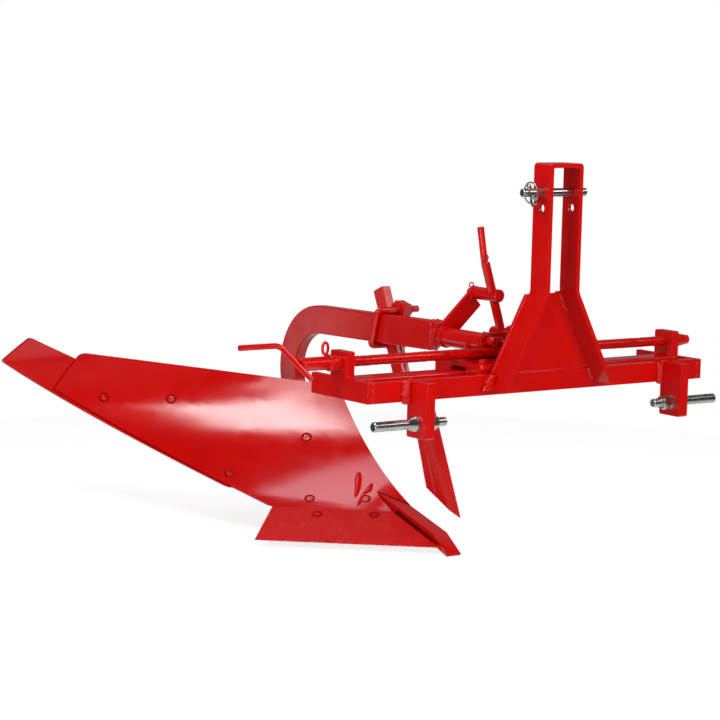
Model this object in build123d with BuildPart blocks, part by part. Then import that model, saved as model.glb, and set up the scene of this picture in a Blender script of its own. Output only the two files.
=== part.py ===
from build123d import *
from math import atan2, cos, radians, sin, sqrt, tan
import os

os.makedirs("parts", exist_ok=True)

# Single furrow mouldboard plough carried on a tractor's three-point hitch. Millimetres.
# The origin lies midway between the two lower link pins, on their axis.
# +X is the land side, -X the furrow side that the board turns the slice to, +Y rearwards, +Z up.

# Fits
RUNNING = 0.08          # radial gap of a turning journal
SEAT = 0.2              # gap round a piece that is bolted or welded in place
SLIDE = 0.3             # gap beside a sliding face
SIDE_PLAY = 2.0         # play of the carriage guides along the rear bar
THREAD_GAP = 0.4        # radial gap of a thread in its nut
LOOSE = 1.0             # radial gap of the tilt screw in its swinging nut

# Headstock frame
HITCH_SPREAD = 752.0
LUG_T = 25.0
LUG_W = 68.0
LUG_BELOW = 32.5
LUG_RISE = 1.0
LUG_CORNER = 5.0
BAR_BOTTOM = 43.5
BAR_H = 47.0
BAR_SPAN = 960.0
FRONT_BAR_T = 20.0
BAR_GAP = 52.0
REAR_BAR_W = 54.0
REAR_BAR_WALL = 5.0
REAR_BAR_CORNER = 7.0
END_PLATE_T = 15.0
END_PLATE_L = 211.0

lug_x = HITCH_SPREAD / 2
lug_in = lug_x - LUG_T / 2
lug_out = lug_x + LUG_T / 2
bar_front = LUG_W / 2
front_bar_back = bar_front + FRONT_BAR_T
rear_bar_front = front_bar_back + BAR_GAP
rear_bar_back = rear_bar_front + REAR_BAR_W
bar_mid = BAR_BOTTOM + BAR_H / 2
bar_top = BAR_BOTTOM + BAR_H
bar_end = BAR_SPAN / 2
frame_end = bar_end + END_PLATE_T

# Mast
MAST_HEIGHT = 460.0
TOP_HOLE_STEP = 35.0
TOP_ABOVE = 65.5
STRAP_W = 57.0
STRAP_T = 10.0
STRAP_BEND_R = 16.0
FOOT_BEND_R = 40.0
MAST_W = 97.0
MAST_BEND_Z = 271.5
FOOT_SPREAD = 324.0
FOOT_Z = 58.0
GUSSET_T = 10.0
GUSSET_EDGE = 6.0
GUSSET_TOP_DROP = 6.0

top_hole_y = bar_front - STRAP_W / 2
top_pin_z = MAST_HEIGHT + TOP_HOLE_STEP
mast_top = top_pin_z + TOP_ABOVE
mast_mid = MAST_W / 2 - STRAP_T / 2
flare = atan2(FOOT_SPREAD / 2 - MAST_W / 2, MAST_BEND_Z - FOOT_Z)

# Lower link pins
LOWER_PIN_D = 22.0
LOWER_PIN_L = 117.0
LOWER_COLLAR_D = 33.0
LOWER_COLLAR_L = 24.5
LOWER_STUD_D = 20.0
LOWER_STUD_L = 55.0
LOWER_NUT_AF = 30.0
LOWER_NUT_T = 18.0
LOWER_WASHER_D = 37.0
LOWER_WASHER_T = 3.0
LINCH_HOLE_D = 11.0
LINCH_HOLE_INSET = 32.0
PIN_CHAMFER = 2.0

# Top link pin with its linch pin and ring
TOP_PIN_D = 19.0
TOP_HOLE_D = 19.6
TOP_PIN_OUT = 57.5
TOP_PIN_TAIL = 31.5
TOP_COLLAR_D = 28.0
TOP_COLLAR_T = 8.0
TOP_COLLAR_GAP = 2.0
LINCH_REACH = 31.5
LINCH_LEAN = 26.0
LINCH_D = 10.0
LINCH_TOP = 19.0
LINCH_HEAD_D = 14.0
LINCH_HEAD_L = 16.0
LINCH_EYE_DROP = 23.0
LINCH_EYE_D = 7.2
RING_D = 46.0
RING_WIRE = 4.0

linch_x = -MAST_W / 2 - LINCH_REACH
linch_up = (0, sin(radians(LINCH_LEAN)), cos(radians(LINCH_LEAN)))
linch_plane = Plane(origin=(linch_x, top_hole_y, top_pin_z), x_dir=(1, 0, 0), z_dir=linch_up)
linch_eye = Plane(
    origin=linch_plane.from_local_coords((0, 0, -LINCH_EYE_DROP)),
    x_dir=(1, 0, 0),
    z_dir=linch_plane.y_dir,
)

# Lateral screw and its crank
SCREW_D = 22.0
SCREW_RISE = 33.0
SCREW_Y = 142.0
SCREW_TAIL = 55.0
SCREW_NUT_AF = 32.0
SCREW_NUT_T = 18.0
BLOCK_T = 22.0
BLOCK_W = 60.0
BLOCK_BEHIND = 32.0
BLOCK_H = 58.0
BLOCK_CORNER = 4.0
COLLAR_D = 33.0
COLLAR_L = 26.5
SLEEVE_D = 30.0
SLEEVE_L = 76.0
SLEEVE_DEEP = 68.0
CRANK_D = 13.0
CRANK_ARM = 78.0
CRANK_TAIL = 57.0
CRANK_RISE = 25.8
CRANK_HANDLE = 105.0
CRANK_BEND_R = 15.0
COTTER_D = 6.0
COTTER_REACH = 11.0
COTTER_LOOP_D = 20.0
COTTER_WIRE = 5.0

screw_z = bar_top + SCREW_RISE
block_in = frame_end - BLOCK_T
block_back = SCREW_Y + BLOCK_BEHIND
collar_end = -frame_end - SLIDE - COLLAR_L
sleeve_end = collar_end - SLEEVE_L
crank_x = sleeve_end - CRANK_D / 2

# Carriage that slides along the rear bar
CARRIAGE_X = -48.0
CARRIAGE_L = 246.0
CARRIAGE_FRONT = 49.0
CARRIAGE_T = 11.0
SHOE_T = 7.7
SHOE_L = 160.0
SHOE_W = 44.0
GUIDE_BACK_W = 60.0
GUIDE_CORNER = 12.0
KEEPER_T = 8.0
KEEPER_INSET = 6.0
KEEPER_REACH = 30.0
BOLT_D = 12.0
BOLT_AF = 19.0
BOLT_HEAD_T = 8.0
BOLT_NUT_T = 10.0
BOLT_SPREAD = 186.0
FRONT_BOLT_GRIP = 34.0
UPRIGHT_T = 10.0
UPRIGHT_Y = 170.0
UPRIGHT_L = 128.0
UPRIGHT_H = 54.0
UPRIGHT_X = 6.0
NUT_X = -42.0
NUT_L = 50.0
NUT_D = 52.0
NUT_MOUTH_D = 42.0
NUT_MOUTH_DEEP = 12.0

plate_under = bar_top + SLIDE + SHOE_T
plate_top = plate_under + CARRIAGE_T
keeper_top = BAR_BOTTOM - SLIDE
front_guide_y = front_bar_back + SIDE_PLAY
front_guide_w = BAR_GAP - 2 * SIDE_PLAY
rear_guide_y = rear_bar_back + SIDE_PLAY
guide_h = plate_under - keeper_top
front_bolt_y = front_guide_y + front_guide_w / 2
rear_bolt_y = rear_guide_y + GUIDE_BACK_W / 2
carriage_back = rear_guide_y + GUIDE_BACK_W

# Tilting pivot of the beam and the screw that sets it
PIVOT_X = -66.0
PIVOT_RISE = 32.0
TUBE_D = 45.0
TUBE_WALL = 4.5
TUBE_L = 139.2
TUBE_PROUD = 7.0
RETAINER_D = 41.0
RETAINER_T = 5.0
BOSS_D = 46.0
BOSS_COLLAR = 6.0
BOSS_L = 39.5
SADDLE_T = 10.0
SADDLE_Y = 196.0
SADDLE_W = 50.0
LEVER_T = 10.0
LEVER_W = 47.0
LEVER_L = 112.0
LEVER_LEAN = 48.0
LEVER_LOW_R = 26.0
LEVER_EYE_R = 16.0
LEVER_REACH = 79.5
LEVER_RISE = 100.8
LOWER_REACH = 109.7
LOWER_RISE = 9.6
TILT_Y = 239.0
TILT_D = 21.0
TILT_L = 177.0
TILT_JOURNAL_D = 13.0
TILT_NUT_AF = 19.0
TILT_NUT_T = 8.0
TILT_TAIL = 4.0
BARREL_D = 29.0
BARREL_FRONT = 25.0
BARREL_L = 57.0
BARREL_PIN_D = 16.0
TRUNNION_LUG_T = 12.0
TRUNNION_LUG_W = 44.0
TRUNNION_LUG_GAP = 4.0
TRUNNION_COLLAR_D = 26.0
TRUNNION_COLLAR_T = 7.0
UPPER_D = 30.0
UPPER_FRONT = 26.0
UPPER_NECK_D = 18.0
UPPER_TAIL = 12.0
CLIP_D = 4.0
CLIP_LOOP_D = 12.0
CLIP_WIRE = 3.0
TILT_CRANK_D = 16.0
TILT_CRANK_ARM = 78.0
TILT_CRANK_TAIL = 55.0
TILT_CRANK_TURN = 40.3
TILT_HANDLE = 80.0
TILT_HANDLE_LEAN = 8.0
TILT_CRANK_BEND_R = 16.0

pivot_z = plate_top + PIVOT_RISE
tube_front = UPRIGHT_Y - TUBE_PROUD
tube_back = tube_front + TUBE_L
journal_r = TUBE_D / 2 - TUBE_WALL - RUNNING
lever_front = tube_back + SLIDE
lever_back = lever_front + LEVER_T
shaft_front = tube_front - SLIDE
boss_back = lever_back + BOSS_L
upper_x = PIVOT_X + LEVER_REACH
upper_z = pivot_z + LEVER_RISE
lower_x = PIVOT_X + LOWER_REACH
lower_z = pivot_z + LOWER_RISE
tilt_way = (upper_x - lower_x, 0, upper_z - lower_z)
tilt_plane = Plane(origin=(lower_x, TILT_Y, lower_z), x_dir=(0, 1, 0), z_dir=tilt_way)
barrel_front = TILT_Y - BARREL_FRONT
trunnion_lug_front = barrel_front - TRUNNION_LUG_GAP - TRUNNION_LUG_T

# Beam
BEAM_X = -67.0
BEAM_T = 30.0
BEAM_H = 70.0
BEAM_CORNER = 4.0
BEAM_SET_DOWN = 1.5
BEAM_RUN = 452.0
BEAM_DROOP = 1.03
NECK_R = 130.0
NECK_TURN = 134.0
LEG_L = 200.0
LEG_BOLT_INSET = 27.0
LEG_BOLT_SPACING = 60.0
LEG_BOLT_D = 16.0
LEG_BOLT_AF = 24.0
LEG_BOLT_HEAD = 10.0

beam_furrow = BEAM_X - BEAM_T / 2
beam_land = BEAM_X + BEAM_T / 2
beam_z = pivot_z - BEAM_SET_DOWN
droop = radians(BEAM_DROOP)
leg_turn = radians(BEAM_DROOP + NECK_TURN)
neck_y = boss_back + BEAM_RUN - NECK_R * sin(droop)
neck_z = beam_z - BEAM_RUN * tan(droop) - NECK_R * cos(droop)
foot_y = neck_y + NECK_R * sin(leg_turn) + LEG_L * cos(leg_turn)
foot_z = neck_z + NECK_R * cos(leg_turn) - LEG_L * sin(leg_turn)
leg_bolt_places = [
    (foot_y - reach * cos(leg_turn), foot_z + reach * sin(leg_turn))
    for reach in (LEG_BOLT_INSET, LEG_BOLT_INSET + LEG_BOLT_SPACING)
]

# Plough bottom, drawn from the foot of the leg and the land plane that holds shin, point and landside
LAND_INSET = 6.0
SOLE_DROP = 117.0
SHIN_R = 786.0
SHIN_AHEAD = 651.0
SHIN_ABOVE = 662.0
BOARD_ANGLE = 44.3
BOARD_TWIST = 4.0
TWIST_UP = 105.6
TWIST_SPAN = 166.0
BOARD_T = 8.0
BOARD_CORNER = 18.0
BOARD_BOTTOM = -62.0
BOARD_LEVELS = (-94, -54, 2, 82, 172, 252, 307)
EXTENSION_T = 8.0
FROG_T = 14.0
SHEET_L = 1000.0
SHEET_LAP = 40.0
SHARE_TIP_IN = 30.0
SHARE_TIP_AHEAD = 498.0
SHARE_ANGLE = 48.3
SHARE_TILT = 23.0
SHARE_L = 454.0
SHARE_TOP_L = 430.0
SHARE_W = 144.0
SHARE_T = 10.0
SHARE_EDGE_T = 1.5
SHARE_BEVEL = 32.0
SHARE_GAP = 6.0
SHARE_LAP = 10.0
SHARE_PAD_T = 14.0
POINT_W = 40.0
POINT_T = 25.0
POINT_SLOPE = 16.0
POINT_BEND_AHEAD = 457.0
POINT_BEND_DROP = 90.0
POINT_NOSE = 57.0
POINT_NOSE_DROP = 42.0
POINT_TIP_T = 4.0
POINT_END_AHEAD = 52.0
LANDSIDE_T = 12.0
LANDSIDE_H = 60.0
LANDSIDE_AHEAD = 234.0
LANDSIDE_L = 412.0
LANDSIDE_BOLT_UP = 30.0
LANDSIDE_BOLTS = (82, 222)
WEB_T = 14.0
WEB_GAP = 1.0
LEDGE_T = 14.0
FROG_BOLTS = [(100, 82), (176, -44), (72, -40)]
EXTENSION_BOLTS = [(438, 150), (285, -3)]
SHARE_BOLTS = [(319, 119), (182.5, 125)]
PLOUGH_BOLT_D = 12.0
PLOUGH_HEAD_D = 25.0
HEAD_GAP = 0.9
PLOUGH_NUT_T = 10.0
HEAD_SINK = 0.2
SPOT_FACE_D = 24.0
STAY_AT = 120.0
STAY_D = 18.0
STAY_BOLT = (315, 154)
STAY_PAD_OUT = 300.0
STAY_END_OUT = 280.0
STAY_PAD_L = 72.0
STAY_PAD_H = 46.0
STAY_PAD_T = 8.0
STAY_FOOT_T = 8.0

shin_x = beam_land - LAND_INSET
point_furrow = shin_x - POINT_W
web_land = point_furrow - WEB_GAP
web_furrow = web_land - WEB_T
landside_furrow = shin_x - LANDSIDE_T
point_rise = tan(radians(POINT_SLOPE))
point_deep = POINT_T / cos(radians(POINT_SLOPE))

# Knife coulter and its clamp, on the land side of the beam
COULTER_RUN = 210.0
COULTER_LEAN = 24.0
SHANK_T = 24.5
SHANK_FRONT = 23.6
SHANK_BACK = 15.9
SHANK_TOP = 98.0
SHANK_DOWN = 122.0
SHANK_LAP = 88.0
BLADE_T = 10.0
BLADE_FRONT = 101.0
BLADE_BACK = 12.0
BLADE_HEEL = 406.0
BLADE_TIP = 505.0
BLADE_SHOULDER = 211.0
BLADE_BACK_TOP = 266.0
BLADE_EDGE_T = 2.0
BLADE_BEVEL = 34.0
U_BOLT_D = 16.0
U_BOLT_GAP = 0.7
U_BOLT_BEND_R = 12.0
U_BOLT_TAIL = 34.0
CLAMP_T = 24.0
CLAMP_W = 42.0
CLAMP_EDGE = 18.0
CLAMP_CORNER = 6.0
U_NUT_AF = 24.0
U_NUT_T = 13.0


def front_plane(y):
    """A drawing seen from the front, X across and Z up, at depth y. A negative amount goes rearwards."""
    return Plane.XZ.offset(-y)


def side_plane(x):
    """A drawing seen from the land side, Y across and Z up, at position x."""
    return Plane.YZ.offset(x)


# Headstock frame: two cross bars between end plates, with a hitch lug welded before each end
with BuildPart() as front_bar:
    with BuildSketch(front_plane(bar_front)):
        with Locations((0, bar_mid)):
            Rectangle(BAR_SPAN, BAR_H)
    extrude(amount=-FRONT_BAR_T)
front_bar.part.label = "front_bar"
export_step(front_bar.part, "parts/front_bar.step")

with BuildPart() as rear_bar:
    with BuildSketch(side_plane(-bar_end)):
        with Locations((rear_bar_front + REAR_BAR_W / 2, bar_mid)):
            RectangleRounded(REAR_BAR_W, BAR_H, REAR_BAR_CORNER)
            RectangleRounded(
                REAR_BAR_W - 2 * REAR_BAR_WALL,
                BAR_H - 2 * REAR_BAR_WALL,
                REAR_BAR_CORNER / 2,
                mode=Mode.SUBTRACT,
            )
    extrude(amount=BAR_SPAN)
rear_bar.part.label = "rear_bar"
export_step(rear_bar.part, "parts/rear_bar.step")

with BuildPart() as end_plate_land:
    with BuildSketch(side_plane(bar_end)):
        with Locations((bar_front + END_PLATE_L / 2, bar_mid)):
            Rectangle(END_PLATE_L, BAR_H)
    extrude(amount=END_PLATE_T)
end_plate_land.part.label = "end_plate_land"
export_step(end_plate_land.part, "parts/end_plate_land.step")

with BuildPart() as end_plate_furrow:
    mirror(end_plate_land.part, about=Plane.YZ)
end_plate_furrow.part.label = "end_plate_furrow"
export_step(end_plate_furrow.part, "parts/end_plate_furrow.step")

lug_top = bar_top + LUG_RISE
with BuildPart() as lower_lug_land:
    with BuildSketch(side_plane(lug_in)) as lug_face:
        with Locations((0, (lug_top - LUG_BELOW) / 2)):
            Rectangle(LUG_W, lug_top + LUG_BELOW)
        fillet(lug_face.vertices().group_by(Axis.Y)[0], LUG_CORNER)
        Circle(LOWER_STUD_D / 2 + SEAT, mode=Mode.SUBTRACT)
    extrude(amount=LUG_T)
lower_lug_land.part.label = "lower_lug_land"
export_step(lower_lug_land.part, "parts/lower_lug_land.step")

with BuildPart() as lower_lug_furrow:
    mirror(lower_lug_land.part, about=Plane.YZ)
lower_lug_furrow.part.label = "lower_lug_furrow"
export_step(lower_lug_furrow.part, "parts/lower_lug_furrow.step")

# Lower link pin: a threaded stud through the lug, a tapered collar against it and the free pin outside
pin_end = lug_out + LOWER_PIN_L
with BuildPart() as lower_pin_land:
    with BuildSketch(Plane.XY):
        with BuildLine():
            Polyline(
                (lug_in - LOWER_STUD_L, 0),
                (lug_in - LOWER_STUD_L, LOWER_STUD_D / 2 - PIN_CHAMFER),
                (lug_in - LOWER_STUD_L + PIN_CHAMFER, LOWER_STUD_D / 2),
                (lug_out, LOWER_STUD_D / 2),
                (lug_out, LOWER_COLLAR_D / 2),
                (lug_out + LOWER_COLLAR_L, LOWER_PIN_D / 2),
                (pin_end - PIN_CHAMFER, LOWER_PIN_D / 2),
                (pin_end, LOWER_PIN_D / 2 - PIN_CHAMFER),
                (pin_end, 0),
                close=True,
            )
        make_face()
    revolve(axis=Axis.X)
    with BuildSketch(Plane.XY.offset(-LOWER_PIN_D)):
        with Locations((pin_end - LINCH_HOLE_INSET, 0)):
            Circle(LINCH_HOLE_D / 2)
    extrude(amount=2 * LOWER_PIN_D, mode=Mode.SUBTRACT)
lower_pin_land.part.label = "lower_pin_land"
export_step(lower_pin_land.part, "parts/lower_pin_land.step")

with BuildPart() as lower_pin_furrow:
    mirror(lower_pin_land.part, about=Plane.YZ)
lower_pin_furrow.part.label = "lower_pin_furrow"
export_step(lower_pin_furrow.part, "parts/lower_pin_furrow.step")

with BuildPart() as lower_pin_washers:
    with BuildSketch(side_plane(lug_in), side_plane(LOWER_WASHER_T - lug_in)):
        Circle(LOWER_WASHER_D / 2)
        Circle(LOWER_STUD_D / 2 + SEAT, mode=Mode.SUBTRACT)
    extrude(amount=-LOWER_WASHER_T)
lower_pin_washers.part.label = "lower_pin_washers"
export_step(lower_pin_washers.part, "parts/lower_pin_washers.step")

lower_nut_x = lug_in - LOWER_WASHER_T
with BuildPart() as lower_pin_nuts:
    with BuildSketch(side_plane(lower_nut_x), side_plane(LOWER_NUT_T - lower_nut_x)):
        RegularPolygon(LOWER_NUT_AF / 2, 6, major_radius=False)
        Circle(LOWER_STUD_D / 2 + SEAT, mode=Mode.SUBTRACT)
    extrude(amount=-LOWER_NUT_T)
lower_pin_nuts.part.label = "lower_pin_nuts"
export_step(lower_pin_nuts.part, "parts/lower_pin_nuts.step")

# Mast: one flat bar bent to an arch with spread feet, welded before the front bar and stiffened by a gusset
foot_line = MAST_BEND_Z - STRAP_T / 2 * tan(flare / 2)
foot_drop = foot_line - FOOT_Z + STRAP_W
with BuildPart() as mast_strap:
    with BuildSketch(front_plane(bar_front - STRAP_W)):
        with BuildLine():
            FilletPolyline(
                (-mast_mid - foot_drop * tan(flare), foot_line - foot_drop),
                (-mast_mid, foot_line),
                (-mast_mid, mast_top - STRAP_T / 2),
                (mast_mid, mast_top - STRAP_T / 2),
                (mast_mid, foot_line),
                (mast_mid + foot_drop * tan(flare), foot_line - foot_drop),
                radius=(FOOT_BEND_R, STRAP_BEND_R, STRAP_BEND_R, FOOT_BEND_R),
            )
        trace(line_width=STRAP_T)
    extrude(amount=-STRAP_W)
    split(bisect_by=Plane.XY.offset(FOOT_Z), keep=Keep.TOP)
    with BuildSketch(side_plane(-MAST_W)):
        with Locations((top_hole_y, MAST_HEIGHT), (top_hole_y, top_pin_z)):
            Circle(TOP_HOLE_D / 2)
    extrude(amount=2 * MAST_W, mode=Mode.SUBTRACT)
mast_strap.part.label = "mast_strap"
export_step(mast_strap.part, "parts/mast_strap.step")

gusset_top = MAST_BEND_Z - GUSSET_TOP_DROP
gusset_top_half = MAST_W / 2 + GUSSET_TOP_DROP * tan(flare) + GUSSET_EDGE
gusset_low_half = MAST_W / 2 + (MAST_BEND_Z - bar_top) * tan(flare) + GUSSET_EDGE
with BuildPart() as mast_gusset:
    with BuildSketch(front_plane(bar_front)):
        with BuildLine():
            Polyline(
                (-gusset_low_half, bar_top),
                (-gusset_top_half, gusset_top),
                (gusset_top_half, gusset_top),
                (gusset_low_half, bar_top),
                close=True,
            )
        make_face()
    extrude(amount=-GUSSET_T)
mast_gusset.part.label = "mast_gusset"
export_step(mast_gusset.part, "parts/mast_gusset.step")

# Top link pin in the upper mast holes, kept by a collar on one side and a ringed linch pin on the other
top_axis = Axis((0, top_hole_y, top_pin_z), (1, 0, 0))
top_pin_start = -MAST_W / 2 - TOP_PIN_OUT
top_pin_end = MAST_W / 2 + TOP_PIN_TAIL
top_collar = MAST_W / 2 + TOP_COLLAR_GAP
with BuildPart() as top_link_pin:
    with BuildSketch(Plane(origin=(0, top_hole_y, top_pin_z))):
        with BuildLine():
            Polyline(
                (top_pin_start, 0),
                (top_pin_start, TOP_PIN_D / 2 - PIN_CHAMFER),
                (top_pin_start + PIN_CHAMFER, TOP_PIN_D / 2),
                (top_collar, TOP_PIN_D / 2),
                (top_collar, TOP_COLLAR_D / 2),
                (top_collar + TOP_COLLAR_T, TOP_COLLAR_D / 2),
                (top_collar + TOP_COLLAR_T, TOP_PIN_D / 2),
                (top_pin_end - PIN_CHAMFER, TOP_PIN_D / 2),
                (top_pin_end, TOP_PIN_D / 2 - PIN_CHAMFER),
                (top_pin_end, 0),
                close=True,
            )
        make_face()
    revolve(axis=top_axis)
    with BuildSketch(linch_plane.offset(-TOP_PIN_D)):
        Circle(LINCH_D / 2 + SEAT)
    extrude(amount=2 * TOP_PIN_D, mode=Mode.SUBTRACT)
top_link_pin.part.label = "top_link_pin"
export_step(top_link_pin.part, "parts/top_link_pin.step")

linch_head_top = LINCH_HEAD_L / 2 - LINCH_EYE_DROP
with BuildPart() as linch_pin:
    with BuildSketch(linch_plane.offset(linch_head_top)):
        Circle(LINCH_D / 2)
    extrude(amount=LINCH_TOP - linch_head_top)
    chamfer(faces().sort_by(Axis(linch_plane.origin, linch_plane.z_dir))[-1].edges(), LINCH_D / 5)
    with BuildSketch(linch_plane.offset(linch_head_top)):
        Circle(LINCH_HEAD_D / 2)
    extrude(amount=-LINCH_HEAD_L)
    with BuildSketch(linch_eye.offset(-LINCH_HEAD_D)):
        Circle(LINCH_EYE_D / 2)
    extrude(amount=2 * LINCH_HEAD_D, mode=Mode.SUBTRACT)
linch_pin.part.label = "linch_pin"
export_step(linch_pin.part, "parts/linch_pin.step")

ring_plane = Plane(
    origin=linch_plane.from_local_coords((0, 0, RING_D / 2 - LINCH_EYE_DROP)),
    x_dir=linch_plane.y_dir,
    z_dir=(1, 0, 0),
)
with BuildPart() as linch_ring:
    with Locations(ring_plane):
        Torus(RING_D / 2, RING_WIRE / 2)
linch_ring.part.label = "linch_ring"
export_step(linch_ring.part, "parts/linch_ring.step")

# Lateral screw: it turns in a block at each end and carries the crank on the furrow side
with BuildPart() as screw_block_land:
    with BuildSketch(side_plane(block_in)) as block_face:
        with Locations((block_back - BLOCK_W / 2, bar_top + BLOCK_H / 2)):
            Rectangle(BLOCK_W, BLOCK_H)
        fillet(block_face.vertices().group_by(Axis.Y)[-1], BLOCK_CORNER)
        with Locations((SCREW_Y, screw_z)):
            Circle(SCREW_D / 2 + RUNNING, mode=Mode.SUBTRACT)
    extrude(amount=BLOCK_T)
screw_block_land.part.label = "screw_block_land"
export_step(screw_block_land.part, "parts/screw_block_land.step")

with BuildPart() as screw_block_furrow:
    mirror(screw_block_land.part, about=Plane.YZ)
screw_block_furrow.part.label = "screw_block_furrow"
export_step(screw_block_furrow.part, "parts/screw_block_furrow.step")

cotter_x = collar_end - COTTER_REACH
with BuildPart() as lateral_screw:
    with BuildSketch(side_plane(collar_end - SLEEVE_DEEP)):
        with Locations((SCREW_Y, screw_z)):
            Circle(SCREW_D / 2)
    extrude(amount=SLEEVE_DEEP - collar_end + frame_end + SCREW_TAIL)
    chamfer(edges().filter_by(GeomType.CIRCLE), PIN_CHAMFER)
    with BuildSketch(Plane.XY.offset(screw_z - SCREW_D)):
        with Locations((cotter_x, SCREW_Y)):
            Circle(COTTER_D / 2 + SEAT)
    extrude(amount=2 * SCREW_D, mode=Mode.SUBTRACT)
lateral_screw.part.label = "lateral_screw"
export_step(lateral_screw.part, "parts/lateral_screw.step")

with BuildPart() as screw_collar:
    with BuildSketch(side_plane(collar_end)):
        with Locations((SCREW_Y, screw_z)):
            Circle(COLLAR_D / 2)
            Circle(SCREW_D / 2 + SEAT, mode=Mode.SUBTRACT)
    extrude(amount=COLLAR_L)
screw_collar.part.label = "screw_collar"
export_step(screw_collar.part, "parts/screw_collar.step")

with BuildPart() as crank_sleeve:
    with BuildSketch(side_plane(sleeve_end)):
        with Locations((SCREW_Y, screw_z)):
            Circle(SLEEVE_D / 2)
            Circle(SCREW_D / 2 + SEAT, mode=Mode.SUBTRACT)
    extrude(amount=SLEEVE_L)
    with BuildSketch(Plane.XY.offset(screw_z - SLEEVE_D)):
        with Locations((cotter_x, SCREW_Y)):
            Circle(COTTER_D / 2 + SEAT)
    extrude(amount=2 * SLEEVE_D, mode=Mode.SUBTRACT)
crank_sleeve.part.label = "crank_sleeve"
export_step(crank_sleeve.part, "parts/crank_sleeve.step")

crank_rise = radians(CRANK_RISE)
crank_face = Plane(
    origin=(crank_x, SCREW_Y, screw_z),
    x_dir=(0, cos(crank_rise), sin(crank_rise)),
    z_dir=(-1, 0, 0),
)
with BuildPart() as lateral_crank:
    with BuildLine(crank_face) as crank_path:
        FilletPolyline(
            (-CRANK_TAIL, 0, 0),
            (CRANK_ARM, 0, 0),
            (CRANK_ARM, 0, CRANK_HANDLE),
            radius=CRANK_BEND_R,
        )
    with BuildSketch(Plane(origin=crank_path.line @ 0, z_dir=crank_path.line % 0)):
        Circle(CRANK_D / 2)
    sweep()
lateral_crank.part.label = "lateral_crank"
export_step(lateral_crank.part, "parts/lateral_crank.step")

cotter_loop_z = screw_z + SLEEVE_D / 2 + COTTER_LOOP_D / 2 + COTTER_WIRE / 2
with BuildPart() as crank_cotter:
    with BuildSketch(Plane.XY.offset(screw_z - SLEEVE_D / 2 - COTTER_D)):
        with Locations((cotter_x, SCREW_Y)):
            Circle(COTTER_D / 2)
    extrude(amount=SLEEVE_D + COTTER_D + COTTER_WIRE / 2 + COTTER_WIRE / 4)
    with Locations(Plane(origin=(cotter_x, SCREW_Y, cotter_loop_z), z_dir=(0, 1, 0))):
        Torus(COTTER_LOOP_D / 2, COTTER_WIRE / 2)
crank_cotter.part.label = "crank_cotter"
export_step(crank_cotter.part, "parts/crank_cotter.step")

with BuildPart() as screw_end_nut:
    with BuildSketch(side_plane(frame_end + SLIDE)):
        with Locations((SCREW_Y, screw_z)):
            RegularPolygon(SCREW_NUT_AF / 2, 6, major_radius=False)
            Circle(SCREW_D / 2 + SEAT, mode=Mode.SUBTRACT)
    extrude(amount=SCREW_NUT_T)
screw_end_nut.part.label = "screw_end_nut"
export_step(screw_end_nut.part, "parts/screw_end_nut.step")

# Carriage: a plate on the bars, guides before and behind the rear bar and a keeper that reaches under it,
# held by two long bolts behind and two short ones screwed into the front guide
saddle_land = PIVOT_X + SADDLE_W / 2
lug_furrow = lower_x - TRUNNION_LUG_W / 2
rear_bolt_x = (saddle_land + lug_furrow) / 2
bolt_places = [
    (CARRIAGE_X - BOLT_SPREAD / 2, front_bolt_y),
    (CARRIAGE_X + BOLT_SPREAD / 2, front_bolt_y),
    (CARRIAGE_X - BOLT_SPREAD / 2, rear_bolt_y),
    (rear_bolt_x, rear_bolt_y),
]
with BuildPart() as carriage_plate:
    with BuildSketch(Plane.XY.offset(plate_under)):
        with Locations((CARRIAGE_X, (CARRIAGE_FRONT + carriage_back) / 2)):
            RectangleRounded(CARRIAGE_L, carriage_back - CARRIAGE_FRONT, GUIDE_CORNER)
        with Locations(*bolt_places):
            Circle(BOLT_D / 2 + SEAT, mode=Mode.SUBTRACT)
    extrude(amount=CARRIAGE_T)
carriage_plate.part.label = "carriage_plate"
export_step(carriage_plate.part, "parts/carriage_plate.step")

with BuildPart() as slide_shoe:
    with BuildSketch(Plane.XY.offset(bar_top + SLIDE)):
        with Locations((CARRIAGE_X, rear_bar_front + REAR_BAR_W / 2)):
            RectangleRounded(SHOE_L, SHOE_W, SHOE_W / 4)
    extrude(amount=SHOE_T)
slide_shoe.part.label = "slide_shoe"
export_step(slide_shoe.part, "parts/slide_shoe.step")

with BuildPart() as front_guide:
    with BuildSketch(Plane.XY.offset(keeper_top)):
        with Locations((CARRIAGE_X, front_bolt_y)):
            Rectangle(CARRIAGE_L, front_guide_w)
    extrude(amount=guide_h)
    with BuildSketch(Plane.XY.offset(plate_under)):
        with Locations(*bolt_places[:2]):
            Circle(BOLT_D / 2 + SEAT)
    extrude(amount=-FRONT_BOLT_GRIP, mode=Mode.SUBTRACT)
front_guide.part.label = "front_guide"
export_step(front_guide.part, "parts/front_guide.step")

with BuildPart() as rear_guide:
    with BuildSketch(Plane.XY.offset(keeper_top)):
        with Locations((CARRIAGE_X, rear_bolt_y)):
            RectangleRounded(CARRIAGE_L, GUIDE_BACK_W, GUIDE_CORNER)
        with Locations(*bolt_places[2:]):
            Circle(BOLT_D / 2 + SEAT, mode=Mode.SUBTRACT)
    extrude(amount=guide_h)
rear_guide.part.label = "rear_guide"
export_step(rear_guide.part, "parts/rear_guide.step")

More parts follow.
